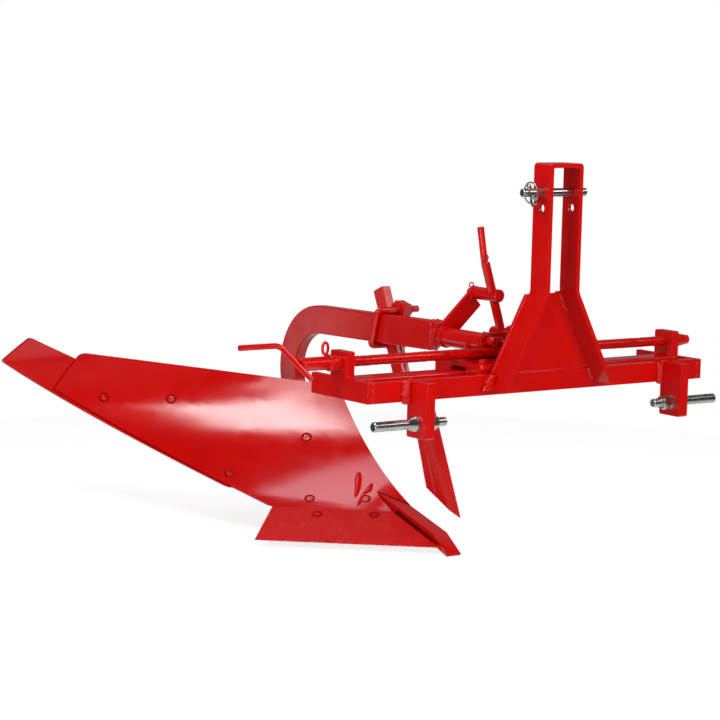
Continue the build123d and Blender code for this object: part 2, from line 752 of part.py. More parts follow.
keeper_back = carriage_back - KEEPER_INSET
keeper_front = rear_bar_back - KEEPER_REACH
with BuildPart() as keeper_plate:
    with BuildSketch(Plane.XY.offset(keeper_top)) as keeper_face:
        with Locations((CARRIAGE_X, (keeper_front + keeper_back) / 2)):
            Rectangle(CARRIAGE_L - 2 * KEEPER_INSET, keeper_back - keeper_front)
        fillet(keeper_face.vertices(), BLOCK_CORNER)
        with Locations(*bolt_places[2:]):
            Circle(BOLT_D / 2 + SEAT, mode=Mode.SUBTRACT)
    extrude(amount=-KEEPER_T)
keeper_plate.part.label = "keeper_plate"
export_step(keeper_plate.part, "parts/keeper_plate.step")

bolt_low = keeper_top - KEEPER_T
with BuildPart() as carriage_bolts:
    with BuildSketch(Plane.XY.offset(plate_top)):
        with Locations(*bolt_places):
            RegularPolygon(BOLT_AF / 2, 6, major_radius=False)
    extrude(amount=BOLT_HEAD_T)
    with BuildSketch(Plane.XY.offset(plate_top)):
        with Locations(*bolt_places[:2]):
            Circle(BOLT_D / 2)
    extrude(amount=plate_under + SEAT - FRONT_BOLT_GRIP - plate_top)
    with BuildSketch(Plane.XY.offset(plate_top)):
        with Locations(*bolt_places[2:]):
            Circle(BOLT_D / 2)
    extrude(amount=bolt_low - plate_top - BOLT_NUT_T - BOLT_D / 4)
    with BuildSketch(Plane.XY.offset(bolt_low)):
        with Locations(*bolt_places[2:]):
            RegularPolygon(BOLT_AF / 2, 6, major_radius=False)
    extrude(amount=-BOLT_NUT_T)
carriage_bolts.part.label = "carriage_bolts"
export_step(carriage_bolts.part, "parts/carriage_bolts.step")

with BuildPart() as carriage_upright:
    with BuildSketch(front_plane(UPRIGHT_Y)) as upright_face:
        with Locations((UPRIGHT_X, plate_top + UPRIGHT_H / 2)):
            Rectangle(UPRIGHT_L, UPRIGHT_H)
        fillet(upright_face.vertices().group_by(Axis.Y)[-1], BLOCK_CORNER)
        with Locations((PIVOT_X, pivot_z)):
            Circle(TUBE_D / 2 + SEAT, mode=Mode.SUBTRACT)
    extrude(amount=-UPRIGHT_T)
carriage_upright.part.label = "carriage_upright"
export_step(carriage_upright.part, "parts/carriage_upright.step")

with BuildPart() as screw_nut:
    with BuildSketch(side_plane(NUT_X)):
        with Locations((SCREW_Y, screw_z)):
            Circle(NUT_D / 2)
            Circle(SCREW_D / 2 + THREAD_GAP, mode=Mode.SUBTRACT)
    extrude(amount=NUT_L)
    with BuildSketch(side_plane(NUT_X)):
        with Locations((SCREW_Y, screw_z)):
            Circle(NUT_MOUTH_D / 2)
    extrude(amount=NUT_MOUTH_DEEP, mode=Mode.SUBTRACT)
    split(bisect_by=Plane.XY.offset(plate_top), keep=Keep.TOP)
screw_nut.part.label = "screw_nut"
export_step(screw_nut.part, "parts/screw_nut.step")

# Pivot tube of the beam, welded into the edge of the upright and resting on a saddle
with BuildPart() as pivot_tube:
    with BuildSketch(front_plane(tube_front)):
        with Locations((PIVOT_X, pivot_z)):
            Circle(TUBE_D / 2)
            Circle(TUBE_D / 2 - TUBE_WALL, mode=Mode.SUBTRACT)
    extrude(amount=-TUBE_L)
pivot_tube.part.label = "pivot_tube"
export_step(pivot_tube.part, "parts/pivot_tube.step")

with BuildPart() as tube_saddle:
    with BuildSketch(front_plane(SADDLE_Y)):
        with Locations((PIVOT_X, (plate_top + pivot_z) / 2)):
            Rectangle(SADDLE_W, PIVOT_RISE)
        with Locations((PIVOT_X, pivot_z)):
            Circle(TUBE_D / 2 + SEAT, mode=Mode.SUBTRACT)
    extrude(amount=-SADDLE_T)
tube_saddle.part.label = "tube_saddle"
export_step(tube_saddle.part, "parts/tube_saddle.step")

with BuildPart() as trunnion_lug:
    with BuildSketch(front_plane(trunnion_lug_front)):
        with Locations((lower_x, lower_z)):
            Circle(TRUNNION_LUG_W / 2)
        with Locations((lower_x, plate_top + TRUNNION_LUG_T / 2)):
            Rectangle(TRUNNION_LUG_W, TRUNNION_LUG_T)
        make_hull()
        with Locations((lower_x, lower_z)):
            Circle(BARREL_PIN_D / 2 + RUNNING, mode=Mode.SUBTRACT)
    extrude(amount=-TRUNNION_LUG_T)
trunnion_lug.part.label = "trunnion_lug"
export_step(trunnion_lug.part, "parts/trunnion_lug.step")

# Lower trunnion: a barrel that lets the tilt screw swing, its pin held in the lug by a collar
trunnion_pin_front = trunnion_lug_front - TRUNNION_COLLAR_T - SLIDE
with BuildPart() as lower_trunnion:
    with BuildSketch(front_plane(barrel_front)):
        with Locations((lower_x, lower_z)):
            Circle(BARREL_D / 2)
    extrude(amount=-BARREL_L)
    chamfer(edges().filter_by(GeomType.CIRCLE), PIN_CHAMFER)
    with BuildSketch(front_plane(trunnion_pin_front)):
        with Locations((lower_x, lower_z)):
            Circle(BARREL_PIN_D / 2)
    extrude(amount=trunnion_pin_front - barrel_front)
    with BuildSketch(tilt_plane.offset(-BARREL_D)):
        Circle(TILT_JOURNAL_D / 2 + RUNNING)
    extrude(amount=2 * BARREL_D, mode=Mode.SUBTRACT)
lower_trunnion.part.label = "lower_trunnion"
export_step(lower_trunnion.part, "parts/lower_trunnion.step")

with BuildPart() as trunnion_collar:
    with BuildSketch(front_plane(trunnion_pin_front)):
        with Locations((lower_x, lower_z)):
            Circle(TRUNNION_COLLAR_D / 2)
            Circle(BARREL_PIN_D / 2 + SEAT, mode=Mode.SUBTRACT)
    extrude(amount=-TRUNNION_COLLAR_T)
trunnion_collar.part.label = "trunnion_collar"
export_step(trunnion_collar.part, "parts/trunnion_collar.step")

# Tilt screw: a shouldered journal in the barrel below, the thread through the swinging nut above
tilt_shoulder = BARREL_D / 2 + SLIDE
crank_turn = radians(TILT_CRANK_TURN)
handle_lean = radians(TILT_HANDLE_LEAN)
crank_seat = Plane(
    origin=tilt_plane.from_local_coords((0, 0, TILT_L)),
    x_dir=(-sin(crank_turn), -cos(crank_turn), 0),
    z_dir=(-cos(crank_turn) * sin(handle_lean), sin(crank_turn) * sin(handle_lean), cos(handle_lean)),
)
with BuildPart() as tilt_screw:
    with BuildSketch(tilt_plane.offset(-tilt_shoulder - TILT_NUT_T - TILT_TAIL)):
        Circle(TILT_JOURNAL_D / 2)
    extrude(amount=2 * tilt_shoulder + TILT_NUT_T + TILT_TAIL)
    with BuildSketch(tilt_plane.offset(tilt_shoulder)):
        Circle(TILT_D / 2)
    extrude(amount=TILT_L - tilt_shoulder + TILT_D)
    split(bisect_by=crank_seat, keep=Keep.BOTTOM)
tilt_screw.part.label = "tilt_screw"
export_step(tilt_screw.part, "parts/tilt_screw.step")

with BuildPart() as tilt_screw_nut:
    with BuildSketch(tilt_plane.offset(-tilt_shoulder)):
        RegularPolygon(TILT_NUT_AF / 2, 6, major_radius=False)
        Circle(TILT_JOURNAL_D / 2 + SEAT, mode=Mode.SUBTRACT)
    extrude(amount=-TILT_NUT_T)
tilt_screw_nut.part.label = "tilt_screw_nut"
export_step(tilt_screw_nut.part, "parts/tilt_screw_nut.step")

with BuildPart() as tilt_crank:
    with BuildLine(crank_seat.offset(TILT_CRANK_D / 2)) as tilt_path:
        FilletPolyline(
            (-TILT_CRANK_TAIL, 0, 0),
            (TILT_CRANK_ARM, 0, 0),
            (TILT_CRANK_ARM, 0, TILT_HANDLE),
            radius=TILT_CRANK_BEND_R,
        )
    with BuildSketch(Plane(origin=tilt_path.line @ 0, z_dir=tilt_path.line % 0)):
        Circle(TILT_CRANK_D / 2)
    sweep()
tilt_crank.part.label = "tilt_crank"
export_step(tilt_crank.part, "parts/tilt_crank.step")

# Upper trunnion: the swinging nut of the tilt screw, journalled in the head of the lever
upper_front = TILT_Y - UPPER_FRONT
upper_shoulder = lever_front - SLIDE
upper_back = lever_back + UPPER_TAIL
clip_y = lever_back + UPPER_TAIL / 2
with BuildPart() as upper_trunnion:
    with BuildSketch(front_plane(upper_front)):
        with Locations((upper_x, upper_z)):
            Circle(UPPER_D / 2)
    extrude(amount=upper_front - upper_shoulder)
    chamfer(edges().filter_by(GeomType.CIRCLE), PIN_CHAMFER)
    with BuildSketch(front_plane(upper_shoulder)):
        with Locations((upper_x, upper_z)):
            Circle(UPPER_NECK_D / 2)
    extrude(amount=upper_shoulder - upper_back)
    with BuildSketch(tilt_plane):
        Circle(TILT_D / 2 + LOOSE)
    extrude(amount=TILT_L, mode=Mode.SUBTRACT)
    with BuildSketch(Plane.XY.offset(upper_z - UPPER_D)):
        with Locations((upper_x, clip_y)):
            Circle(CLIP_D / 2 + SEAT)
    extrude(amount=2 * UPPER_D, mode=Mode.SUBTRACT)
upper_trunnion.part.label = "upper_trunnion"
export_step(upper_trunnion.part, "parts/upper_trunnion.step")

clip_loop_z = upper_z + UPPER_NECK_D / 2 + CLIP_LOOP_D / 2 + CLIP_WIRE / 2
with BuildPart() as trunnion_cotter:
    with BuildSketch(Plane.XY.offset(upper_z - UPPER_NECK_D / 2 - CLIP_D)):
        with Locations((upper_x, clip_y)):
            Circle(CLIP_D / 2)
    extrude(amount=UPPER_NECK_D + CLIP_D + CLIP_WIRE / 2 + CLIP_WIRE / 4)
    with Locations(Plane(origin=(upper_x, clip_y, clip_loop_z), z_dir=(0, 1, 0))):
        Torus(CLIP_LOOP_D / 2, CLIP_WIRE / 2)
trunnion_cotter.part.label = "trunnion_cotter"
export_step(trunnion_cotter.part, "parts/trunnion_cotter.step")

# Beam: the shaft that turns in the tube, the tilting lever on it and the bar with its round neck and leg
with BuildPart() as pivot_shaft:
    with BuildSketch(front_plane(shaft_front)):
        with Locations((PIVOT_X, pivot_z)):
            Circle(journal_r)
    extrude(amount=shaft_front - lever_back)
    with BuildSketch(front_plane(lever_back)):
        with Locations((PIVOT_X, pivot_z)):
            Circle(BOSS_D / 2)
    extrude(amount=-BOSS_COLLAR)
    with BuildSketch(front_plane(lever_back + BOSS_COLLAR)):
        with Locations((PIVOT_X, pivot_z)):
            Circle(BOSS_D / 2)
    with BuildSketch(front_plane(boss_back)):
        with Locations((BEAM_X, beam_z)):
            RectangleRounded(BEAM_T - 2 * BEAM_CORNER, BEAM_H - 2 * BEAM_CORNER, BEAM_CORNER)
    loft()
pivot_shaft.part.label = "pivot_shaft"
export_step(pivot_shaft.part, "parts/pivot_shaft.step")

with BuildPart() as pivot_retainer:
    with BuildSketch(front_plane(shaft_front)):
        with Locations((PIVOT_X, pivot_z)):
            Circle(RETAINER_D / 2)
    extrude(amount=RETAINER_T)
pivot_retainer.part.label = "pivot_retainer"
export_step(pivot_retainer.part, "parts/pivot_retainer.step")

with BuildPart() as tilt_lever:
    with BuildSketch(front_plane(lever_front)):
        with Locations((PIVOT_X, pivot_z)):
            Circle(LEVER_LOW_R)
        with Locations((upper_x, upper_z)):
            Circle(LEVER_EYE_R)
        with Locations(Location(((PIVOT_X + upper_x) / 2, (pivot_z + upper_z) / 2), -LEVER_LEAN)):
            Rectangle(LEVER_W, LEVER_L)
        with Locations((PIVOT_X, pivot_z)):
            Circle(journal_r + SEAT, mode=Mode.SUBTRACT)
        with Locations((upper_x, upper_z)):
            Circle(UPPER_NECK_D / 2 + RUNNING, mode=Mode.SUBTRACT)
    extrude(amount=-LEVER_T)
tilt_lever.part.label = "tilt_lever"
export_step(tilt_lever.part, "parts/tilt_lever.step")

with BuildPart() as beam:
    with BuildSketch(side_plane(beam_furrow)):
        with BuildLine():
            run = Line(
                (boss_back - BEAM_H * tan(droop), beam_z + BEAM_H * tan(droop) ** 2),
                (boss_back + BEAM_RUN, beam_z - BEAM_RUN * tan(droop)),
            )
            neck = JernArc(run @ 1, run % 1, NECK_R, -NECK_TURN)
            Line(neck @ 1, neck @ 1 + (neck % 1) * LEG_L)
        trace(line_width=BEAM_H)
    extrude(amount=BEAM_T)
    split(bisect_by=front_plane(boss_back), keep=Keep.BOTTOM)
    fillet(edges().filter_by(Axis.X, reverse=True), BEAM_CORNER)
    with BuildSketch(side_plane(beam_furrow)):
        with Locations(*leg_bolt_places):
            Circle(LEG_BOLT_D / 2 + SEAT)
    extrude(amount=BEAM_T, mode=Mode.SUBTRACT)
beam.part.label = "beam"
export_step(beam.part, "parts/beam.step")


# Plough bottom: mouldboard, share, bar point and landside on the frog
def bottom_side(x):
    """A side drawing whose zero is the foot of the leg, at a place across."""
    return Plane(origin=(x, foot_y, foot_z), x_dir=(0, 1, 0), z_dir=(1, 0, 0))


def shin_y(up):
    """Depth of the shin, the board's leading edge, at a height above the foot."""
    return foot_y - SHIN_AHEAD + sqrt(SHIN_R**2 - (up - SHIN_ABOVE) ** 2)


def board_angle(up):
    """Angle of the board's level generator to the way of travel at a height."""
    return radians(BOARD_ANGLE + BOARD_TWIST * ((up - TWIST_UP) / TWIST_SPAN) ** 2)


def board_y(out, up):
    """Depth of the board's front face, out being the distance from the land plane."""
    return shin_y(up) + out / tan(board_angle(up))


def board_spot(out, up):
    """Plane on the board's front face, its Z pointing out of the face."""
    slope_x = -1 / tan(board_angle(up))
    slope_z = (board_y(out, up + 0.5) - board_y(out, up - 0.5)) / (0.5 + 0.5)
    return Plane(
        origin=(shin_x - out, board_y(out, up), foot_z + up),
        x_dir=(1, slope_x, 0),
        z_dir=(slope_x, -1, slope_z),
    )


def board_layer(near, far, outline):
    """A layer of the board between two depths behind its face, trimmed to an outline seen from the front."""
    with BuildPart() as layer:
        for up in BOARD_LEVELS:
            turn = board_angle(up)
            lean = (SHIN_ABOVE - up) / sqrt(SHIN_R**2 - (up - SHIN_ABOVE) ** 2)
            thicken = sqrt(1 + (lean * sin(turn)) ** 2)
            level = Plane(
                origin=(shin_x, shin_y(up), foot_z + up),
                x_dir=(-sin(turn), cos(turn), 0),
                z_dir=(0, 0, 1),
            )
            with BuildSketch(level):
                with Locations((SHEET_L / 2 - SHEET_LAP, -(near + far) / 2 * thicken)):
                    Rectangle(SHEET_L, (far - near) * thicken)
        loft()
        with BuildSketch(Plane(origin=(shin_x, 0, foot_z), x_dir=(1, 0, 0), z_dir=(0, -1, 0))):
            add(outline)
        extrude(amount=-2 * SHEET_L, mode=Mode.INTERSECT)
    return layer.part


with BuildSketch() as board_outline:
    with BuildLine():
        Polyline((0, 203), (-466, 258), (-524, 165), (-263, BOARD_BOTTOM), (0, BOARD_BOTTOM), close=True)
    make_face()
    fillet(board_outline.vertices().sort_by(Axis.Y)[-1], BOARD_CORNER)

with BuildSketch() as extension_outline:
    with BuildLine():
        Polyline((-613, 227), (-565, 292), (-479, 244), (-242, 41), (-252, -8), (-301, -34), close=True)
    make_face()
    fillet(extension_outline.vertices(), BOARD_CORNER / 3)

with BuildSketch() as frog_outline:
    with BuildLine():
        Polyline((-17, -88), (-17, 101), (-132, 111), (-142, 41), (-217, -30), (-217, -88), close=True)
    make_face()

with BuildSketch() as stay_outline:
    with Locations((-STAY_PAD_OUT, STAY_BOLT[1])):
        Rectangle(STAY_PAD_L, STAY_PAD_H)

with BuildSketch() as ahead_outline:
    with BuildLine():
        Polyline((0, BOARD_BOTTOM), (0, 300), (-600, 300), (-600, BOARD_BOTTOM), close=True)
    make_face()

layer_front = BOARD_T + SEAT
extension_back = layer_front + EXTENSION_T
frog_back = layer_front + FROG_T
stay_back = layer_front + STAY_PAD_T
board_sheet = board_layer(0, BOARD_T, board_outline.sketch)
extension_sheet = board_layer(layer_front, extension_back, extension_outline.sketch)
frog_sheet = board_layer(layer_front, frog_back, frog_outline.sketch)
stay_sheet = board_layer(layer_front, stay_back, stay_outline.sketch)
ahead_of_back = board_layer(-SHEET_LAP, layer_front + STAY_PAD_T / 2, ahead_outline.sketch)

frog_bolt_spots = [board_spot(*place) for place in FROG_BOLTS]
extension_bolt_spots = [board_spot(*place) for place in EXTENSION_BOLTS]
stay_bolt_spot = board_spot(*STAY_BOLT)


share_way = radians(SHARE_ANGLE)
share_tilt = radians(SHARE_TILT)
along = Vector(-sin(share_way), cos(share_way), 0)
up_slope = Vector(cos(share_way) * cos(share_tilt), sin(share_way) * cos(share_tilt), sin(share_tilt))
under_share = along.cross(up_slope)
share_tip = (shin_x - SHARE_TIP_IN, foot_y - SHARE_TIP_AHEAD, foot_z - SOLE_DROP)
share_plane = Plane(origin=share_tip, x_dir=along, z_dir=under_share)


def share_start(up, gap):
    """Where the share begins beside the bar point, measured along its cutting edge."""
    return (POINT_W - SHARE_TIP_IN + gap + up * up_slope.X) / -along.X


def point_profile(grow):
    """Side profile of the bar point, grown all round by a gap."""
    bend = (-POINT_BEND_AHEAD, -POINT_BEND_DROP)
    rear_z = bend[1] + (POINT_BEND_AHEAD - POINT_END_AHEAD) * point_rise
    with BuildSketch() as profile:
        with BuildLine():
            Polyline(
                (bend[0] - POINT_NOSE, bend[1] - POINT_NOSE_DROP),
                bend,
                (-POINT_END_AHEAD, rear_z),
                (-POINT_END_AHEAD, rear_z - point_deep),
                (bend[0], bend[1] - point_deep),
                (bend[0] - POINT_NOSE + POINT_TIP_T, bend[1] - POINT_NOSE_DROP - POINT_TIP_T),
                close=True,
            )
        make_face()
        if grow:
            offset(amount=grow, kind=Kind.INTERSECTION)
    return profile.sketch


share_lap_start = share_start(SHARE_LAP, 2 * SEAT + SHARE_T * under_share.X)
share_lap_t = SHARE_EDGE_T + (SHARE_T - SHARE_EDGE_T) * SHARE_LAP / SHARE_BEVEL
point_sketch = point_profile(0)
point_room_sketch = point_profile(2 * SEAT)
with BuildPart() as bar_point:
    with BuildSketch(bottom_side(point_furrow)):
        add(point_sketch)
    extrude(amount=POINT_W)
    with BuildSketch(share_plane.offset(-SHEET_LAP)):
        with BuildLine():
            Polyline((0, 0), (share_lap_start, 0), (share_lap_start, SHARE_LAP), close=True)
        make_face()
        offset(amount=2 * SEAT, kind=Kind.INTERSECTION)
    extrude(amount=SHEET_LAP + share_lap_t + SEAT, mode=Mode.SUBTRACT)
bar_point.part.label = "bar_point"
export_step(bar_point.part, "parts/bar_point.step")

with BuildPart() as point_room:
    with BuildSketch(bottom_side(point_furrow - 2 * SEAT)):
        add(point_room_sketch)
    extrude(amount=POINT_W + 4 * SEAT)

with BuildPart() as mouldboard:
    add(board_sheet)
    with BuildSketch(bottom_side(point_furrow - 2 * SEAT)):
        top_z = 2 * SEAT - POINT_BEND_DROP
        with BuildLine():
            Polyline(
                (-POINT_BEND_AHEAD, top_z),
                (0, top_z + POINT_BEND_AHEAD * point_rise),
                (0, -SOLE_DROP),
                (-POINT_BEND_AHEAD, -SOLE_DROP),
                close=True,
            )
        make_face()
    extrude(amount=2 * POINT_W, mode=Mode.SUBTRACT)
    for spot in frog_bolt_spots + extension_bolt_spots + [stay_bolt_spot]:
        with Locations(spot.offset(SEAT)):
            CounterSinkHole(PLOUGH_BOLT_D / 2 + SEAT, PLOUGH_HEAD_D / 2 + HEAD_GAP, counter_sink_angle=90)
mouldboard.part.label = "mouldboard"
export_step(mouldboard.part, "parts/mouldboard.step")

with BuildPart() as tail_extension:
    add(extension_sheet)
    for spot in extension_bolt_spots:
        with BuildSketch(spot):
            Circle(PLOUGH_BOLT_D / 2 + SEAT)
        extrude(amount=-SHEET_LAP, mode=Mode.SUBTRACT)
        with BuildSketch(spot.offset(-extension_back)):
            Circle(SPOT_FACE_D / 2)
        extrude(amount=-SHEET_LAP, mode=Mode.SUBTRACT)
tail_extension.part.label = "tail_extension"
export_step(tail_extension.part, "parts/tail_extension.step")

# Share: a flat blade set aslant, ground thin below its cutting edge, its tip let into the bar point
share_bolt_spots = [
    Plane(share_plane.from_local_coords((reach, up, 0)), x_dir=along, z_dir=-under_share)
    for reach, up in SHARE_BOLTS
]
with BuildPart() as share:
    with BuildSketch(Plane(share_tip, x_dir=up_slope, z_dir=along)):
        with BuildLine():
            Polyline(
                (0, 0),
                (SHARE_W, 0),
                (SHARE_W, SHARE_T),
                (SHARE_BEVEL, SHARE_T),
                (0, SHARE_EDGE_T),
                close=True,
            )
        make_face()
    extrude(amount=SHARE_L)
    with BuildSketch(share_plane.offset(-SHARE_T)):
        with BuildLine():
            Polyline(
                (0, 0),
                (SHARE_L, 0),
                (SHARE_TOP_L, SHARE_W),
                (share_start(SHARE_W, SHARE_GAP), SHARE_W),
                (share_lap_start, SHARE_LAP),
                close=True,
            )
        make_face()
    extrude(amount=3 * SHARE_T, mode=Mode.INTERSECT)
    for spot in share_bolt_spots:
        with Locations(spot.offset(SEAT)):
            CounterSinkHole(PLOUGH_BOLT_D / 2 + SEAT, PLOUGH_HEAD_D / 2 + HEAD_GAP, counter_sink_angle=90)
share.part.label = "share"
export_step(share.part, "parts/share.step")

# Frog: the casting behind the board that joins board, share, bar point and landside to the leg
with BuildPart() as share_room:
    with BuildSketch(share_plane.offset(-SHEET_LAP)):
        with Locations((SHARE_L / 2, (SHARE_W + SEAT) / 2)):
            Rectangle(SHARE_L + 2 * SHEET_LAP, SHARE_W + SEAT)
    extrude(amount=SHEET_LAP + SHARE_T + SEAT)

frog_grips = [(spot, frog_back) for spot in frog_bolt_spots]
frog_grips += [(spot, SHARE_T + SEAT + SHARE_PAD_T) for spot in share_bolt_spots]
sole_pad = SEAT - SOLE_DROP + LEDGE_T
landside_bolt_places = [
    (reach - LANDSIDE_AHEAD, LANDSIDE_BOLT_UP - SOLE_DROP) for reach in LANDSIDE_BOLTS
]
with BuildPart() as frog:
    with BuildSketch(bottom_side(web_furrow)):
        with BuildLine():
            Polyline(
                (-352, sole_pad),
                (28, sole_pad),
                (98, -8),
                (98, 91),
                (-17, 91),
                (-62, 41),
                (-192, 31),
                (-272, -30),
                close=True,
            )
        make_face()
    extrude(amount=WEB_T)
    with BuildSketch(bottom_side(web_land)):
        with BuildLine():
            Polyline((-17, -18), (84, -18), (98, -8), (98, 91), (-17, 91), close=True)
        make_face()
    extrude(amount=beam_furrow - web_land)
    with BuildSketch(bottom_side(web_land)):
        with BuildLine():
            Polyline((-192, sole_pad), (28, sole_pad), (28, sole_pad + 32), (-192, sole_pad + 32), close=True)
        make_face()
    extrude(amount=landside_furrow - SEAT - web_land)
    with BuildSketch(bottom_side(web_land)):
        with BuildLine():
            ledge = Line(
                (-347, (POINT_BEND_AHEAD - 347) * point_rise - POINT_BEND_DROP - point_deep),
                (-252, (POINT_BEND_AHEAD - 252) * point_rise - POINT_BEND_DROP - point_deep),
            )
            Line(ledge @ 1, ledge @ 1 - (0, LEDGE_T))
            Line(ledge @ 1 - (0, LEDGE_T), ledge @ 0 - (0, LEDGE_T))
            Line(ledge @ 0 - (0, LEDGE_T), ledge @ 0)
        make_face()
    extrude(amount=POINT_W - LEDGE_T)
    with BuildSketch(share_plane.offset(SHARE_T + SEAT)):
        with BuildLine():
            Polyline((60, 58), (340, 58), (340, 172), (150, 172), (60, 120), close=True)
        make_face()
    extrude(amount=SHARE_PAD_T)
    add(ahead_of_back, mode=Mode.SUBTRACT)
    add(frog_sheet)
    add(share_room.part, mode=Mode.SUBTRACT)
    add(point_room.part, mode=Mode.SUBTRACT)
    for spot, grip in frog_grips:
        with BuildSketch(spot):
            Circle(PLOUGH_BOLT_D / 2 + SEAT)
        extrude(amount=-2 * SHEET_LAP, mode=Mode.SUBTRACT)
        with BuildSketch(spot.offset(-grip)):
            Circle(SPOT_FACE_D / 2)
        extrude(amount=-SHEET_LAP, mode=Mode.SUBTRACT)
    with BuildSketch(side_plane(web_furrow)):
        with Locations(*leg_bolt_places):
            Circle(LEG_BOLT_D / 2 + SEAT)
    extrude(amount=beam_land - web_furrow, mode=Mode.SUBTRACT)
    with BuildSketch(bottom_side(web_furrow)):
        with Locations(*landside_bolt_places):
            Circle(PLOUGH_BOLT_D / 2 + SEAT)
    extrude(amount=shin_x - web_furrow, mode=Mode.SUBTRACT)
frog.part.label = "frog"
export_step(frog.part, "parts/frog.step")

with BuildPart() as landside:
    with BuildSketch(bottom_side(landside_furrow)) as landside_face:
        with Locations((LANDSIDE_L / 2 - LANDSIDE_AHEAD, LANDSIDE_H / 2 - SOLE_DROP)):
            Rectangle(LANDSIDE_L, LANDSIDE_H)
        fillet(landside_face.vertices().group_by(Axis.X)[-1].sort_by(Axis.Y)[-1], LANDSIDE_H / 3)
        with Locations(*landside_bolt_places):
            Circle(PLOUGH_BOLT_D / 2 + SEAT, mode=Mode.SUBTRACT)
    extrude(amount=LANDSIDE_T)
landside.part.label = "landside"
export_step(landside.part, "parts/landside.step")

with BuildPart() as landside_bolts:
    with BuildSketch(bottom_side(shin_x)):
        with Locations(*landside_bolt_places):
            Circle(PLOUGH_BOLT_D / 2)
    extrude(amount=web_furrow - shin_x - 1.5 * PLOUGH_NUT_T)
    with BuildSketch(bottom_side(web_furrow)):
        with Locations(*landside_bolt_places):
            RegularPolygon(BOLT_AF / 2, 6, major_radius=False)
    extrude(amount=-PLOUGH_NUT_T)
landside_bolts.part.label = "landside_bolts"
export_step(landside_bolts.part, "parts/landside_bolts.step")

with BuildPart() as leg_bolts:
    with BuildSketch(side_plane(beam_land), side_plane(web_furrow - LEG_BOLT_HEAD)):
        with Locations(*leg_bolt_places):
            RegularPolygon(LEG_BOLT_AF / 2, 6, major_radius=False)
    extrude(amount=LEG_BOLT_HEAD)
    with BuildSketch(side_plane(beam_land)):
        with Locations(*leg_bolt_places):
            Circle(LEG_BOLT_D / 2)
    extrude(amount=web_furrow - beam_land - 1.5 * LEG_BOLT_HEAD)
leg_bolts.part.label = "leg_bolts"
export_step(leg_bolts.part, "parts/leg_bolts.step")

# Plough bolts: flush countersunk heads in the board and the share, nuts behind
board_grips = [(spot, extension_back) for spot in extension_bolt_spots] + [(stay_bolt_spot, stay_back)]
top_flush = (Align.CENTER, Align.CENTER, Align.MAX)
with BuildPart() as plough_bolts:
    for spot, grip in frog_grips + board_grips:
        with Locations(spot.offset(-HEAD_SINK)):
            Cone(PLOUGH_BOLT_D / 2, PLOUGH_HEAD_D / 2, (PLOUGH_HEAD_D - PLOUGH_BOLT_D) / 2, align=top_flush)
            Cylinder(PLOUGH_BOLT_D / 2, grip + 1.5 * PLOUGH_NUT_T, align=top_flush)
        with BuildSketch(spot.offset(-grip - SEAT)):
            RegularPolygon(BOLT_AF / 2, 6, major_radius=False)
        extrude(amount=-PLOUGH_NUT_T)
plough_bolts.part.label = "plough_bolts"
export_step(plough_bolts.part, "parts/plough_bolts.step")

# Stay: a round brace from the neck of the beam to a pad on the back of the board
stay_y = neck_y + NECK_R * sin(radians(STAY_AT))
stay_z = neck_z + NECK_R * cos(radians(STAY_AT))
stay_end = board_spot(STAY_END_OUT, STAY_BOLT[1]).from_local_coords((0, 0, -layer_front - STAY_PAD_T / 2))
with BuildPart() as stay:
    with BuildSketch(side_plane(beam_furrow)):
        with Locations((stay_y, stay_z)):
            RectangleRounded(STAY_PAD_H, STAY_PAD_H, STAY_FOOT_T)
    extrude(amount=-STAY_FOOT_T)
    with BuildLine() as stay_path:
        Line((beam_furrow - STAY_FOOT_T / 2, stay_y, stay_z), stay_end)
    with BuildSketch(Plane(origin=stay_path.line @ 0, z_dir=stay_path.line % 0)):
        Circle(STAY_D / 2)
    sweep()
    split(bisect_by=side_plane(beam_furrow), keep=Keep.BOTTOM)
    add(ahead_of_back, mode=Mode.SUBTRACT)
    add(stay_sheet)
    with BuildSketch(stay_bolt_spot):
        Circle(PLOUGH_BOLT_D / 2 + SEAT)
    extrude(amount=-SHEET_LAP, mode=Mode.SUBTRACT)
    with BuildSketch(stay_bolt_spot.offset(-stay_back)):
        Circle(SPOT_FACE_D / 2)
    extrude(amount=-SHEET_LAP, mode=Mode.SUBTRACT)
stay.part.label = "stay"
export_step(stay.part, "parts/stay.step")

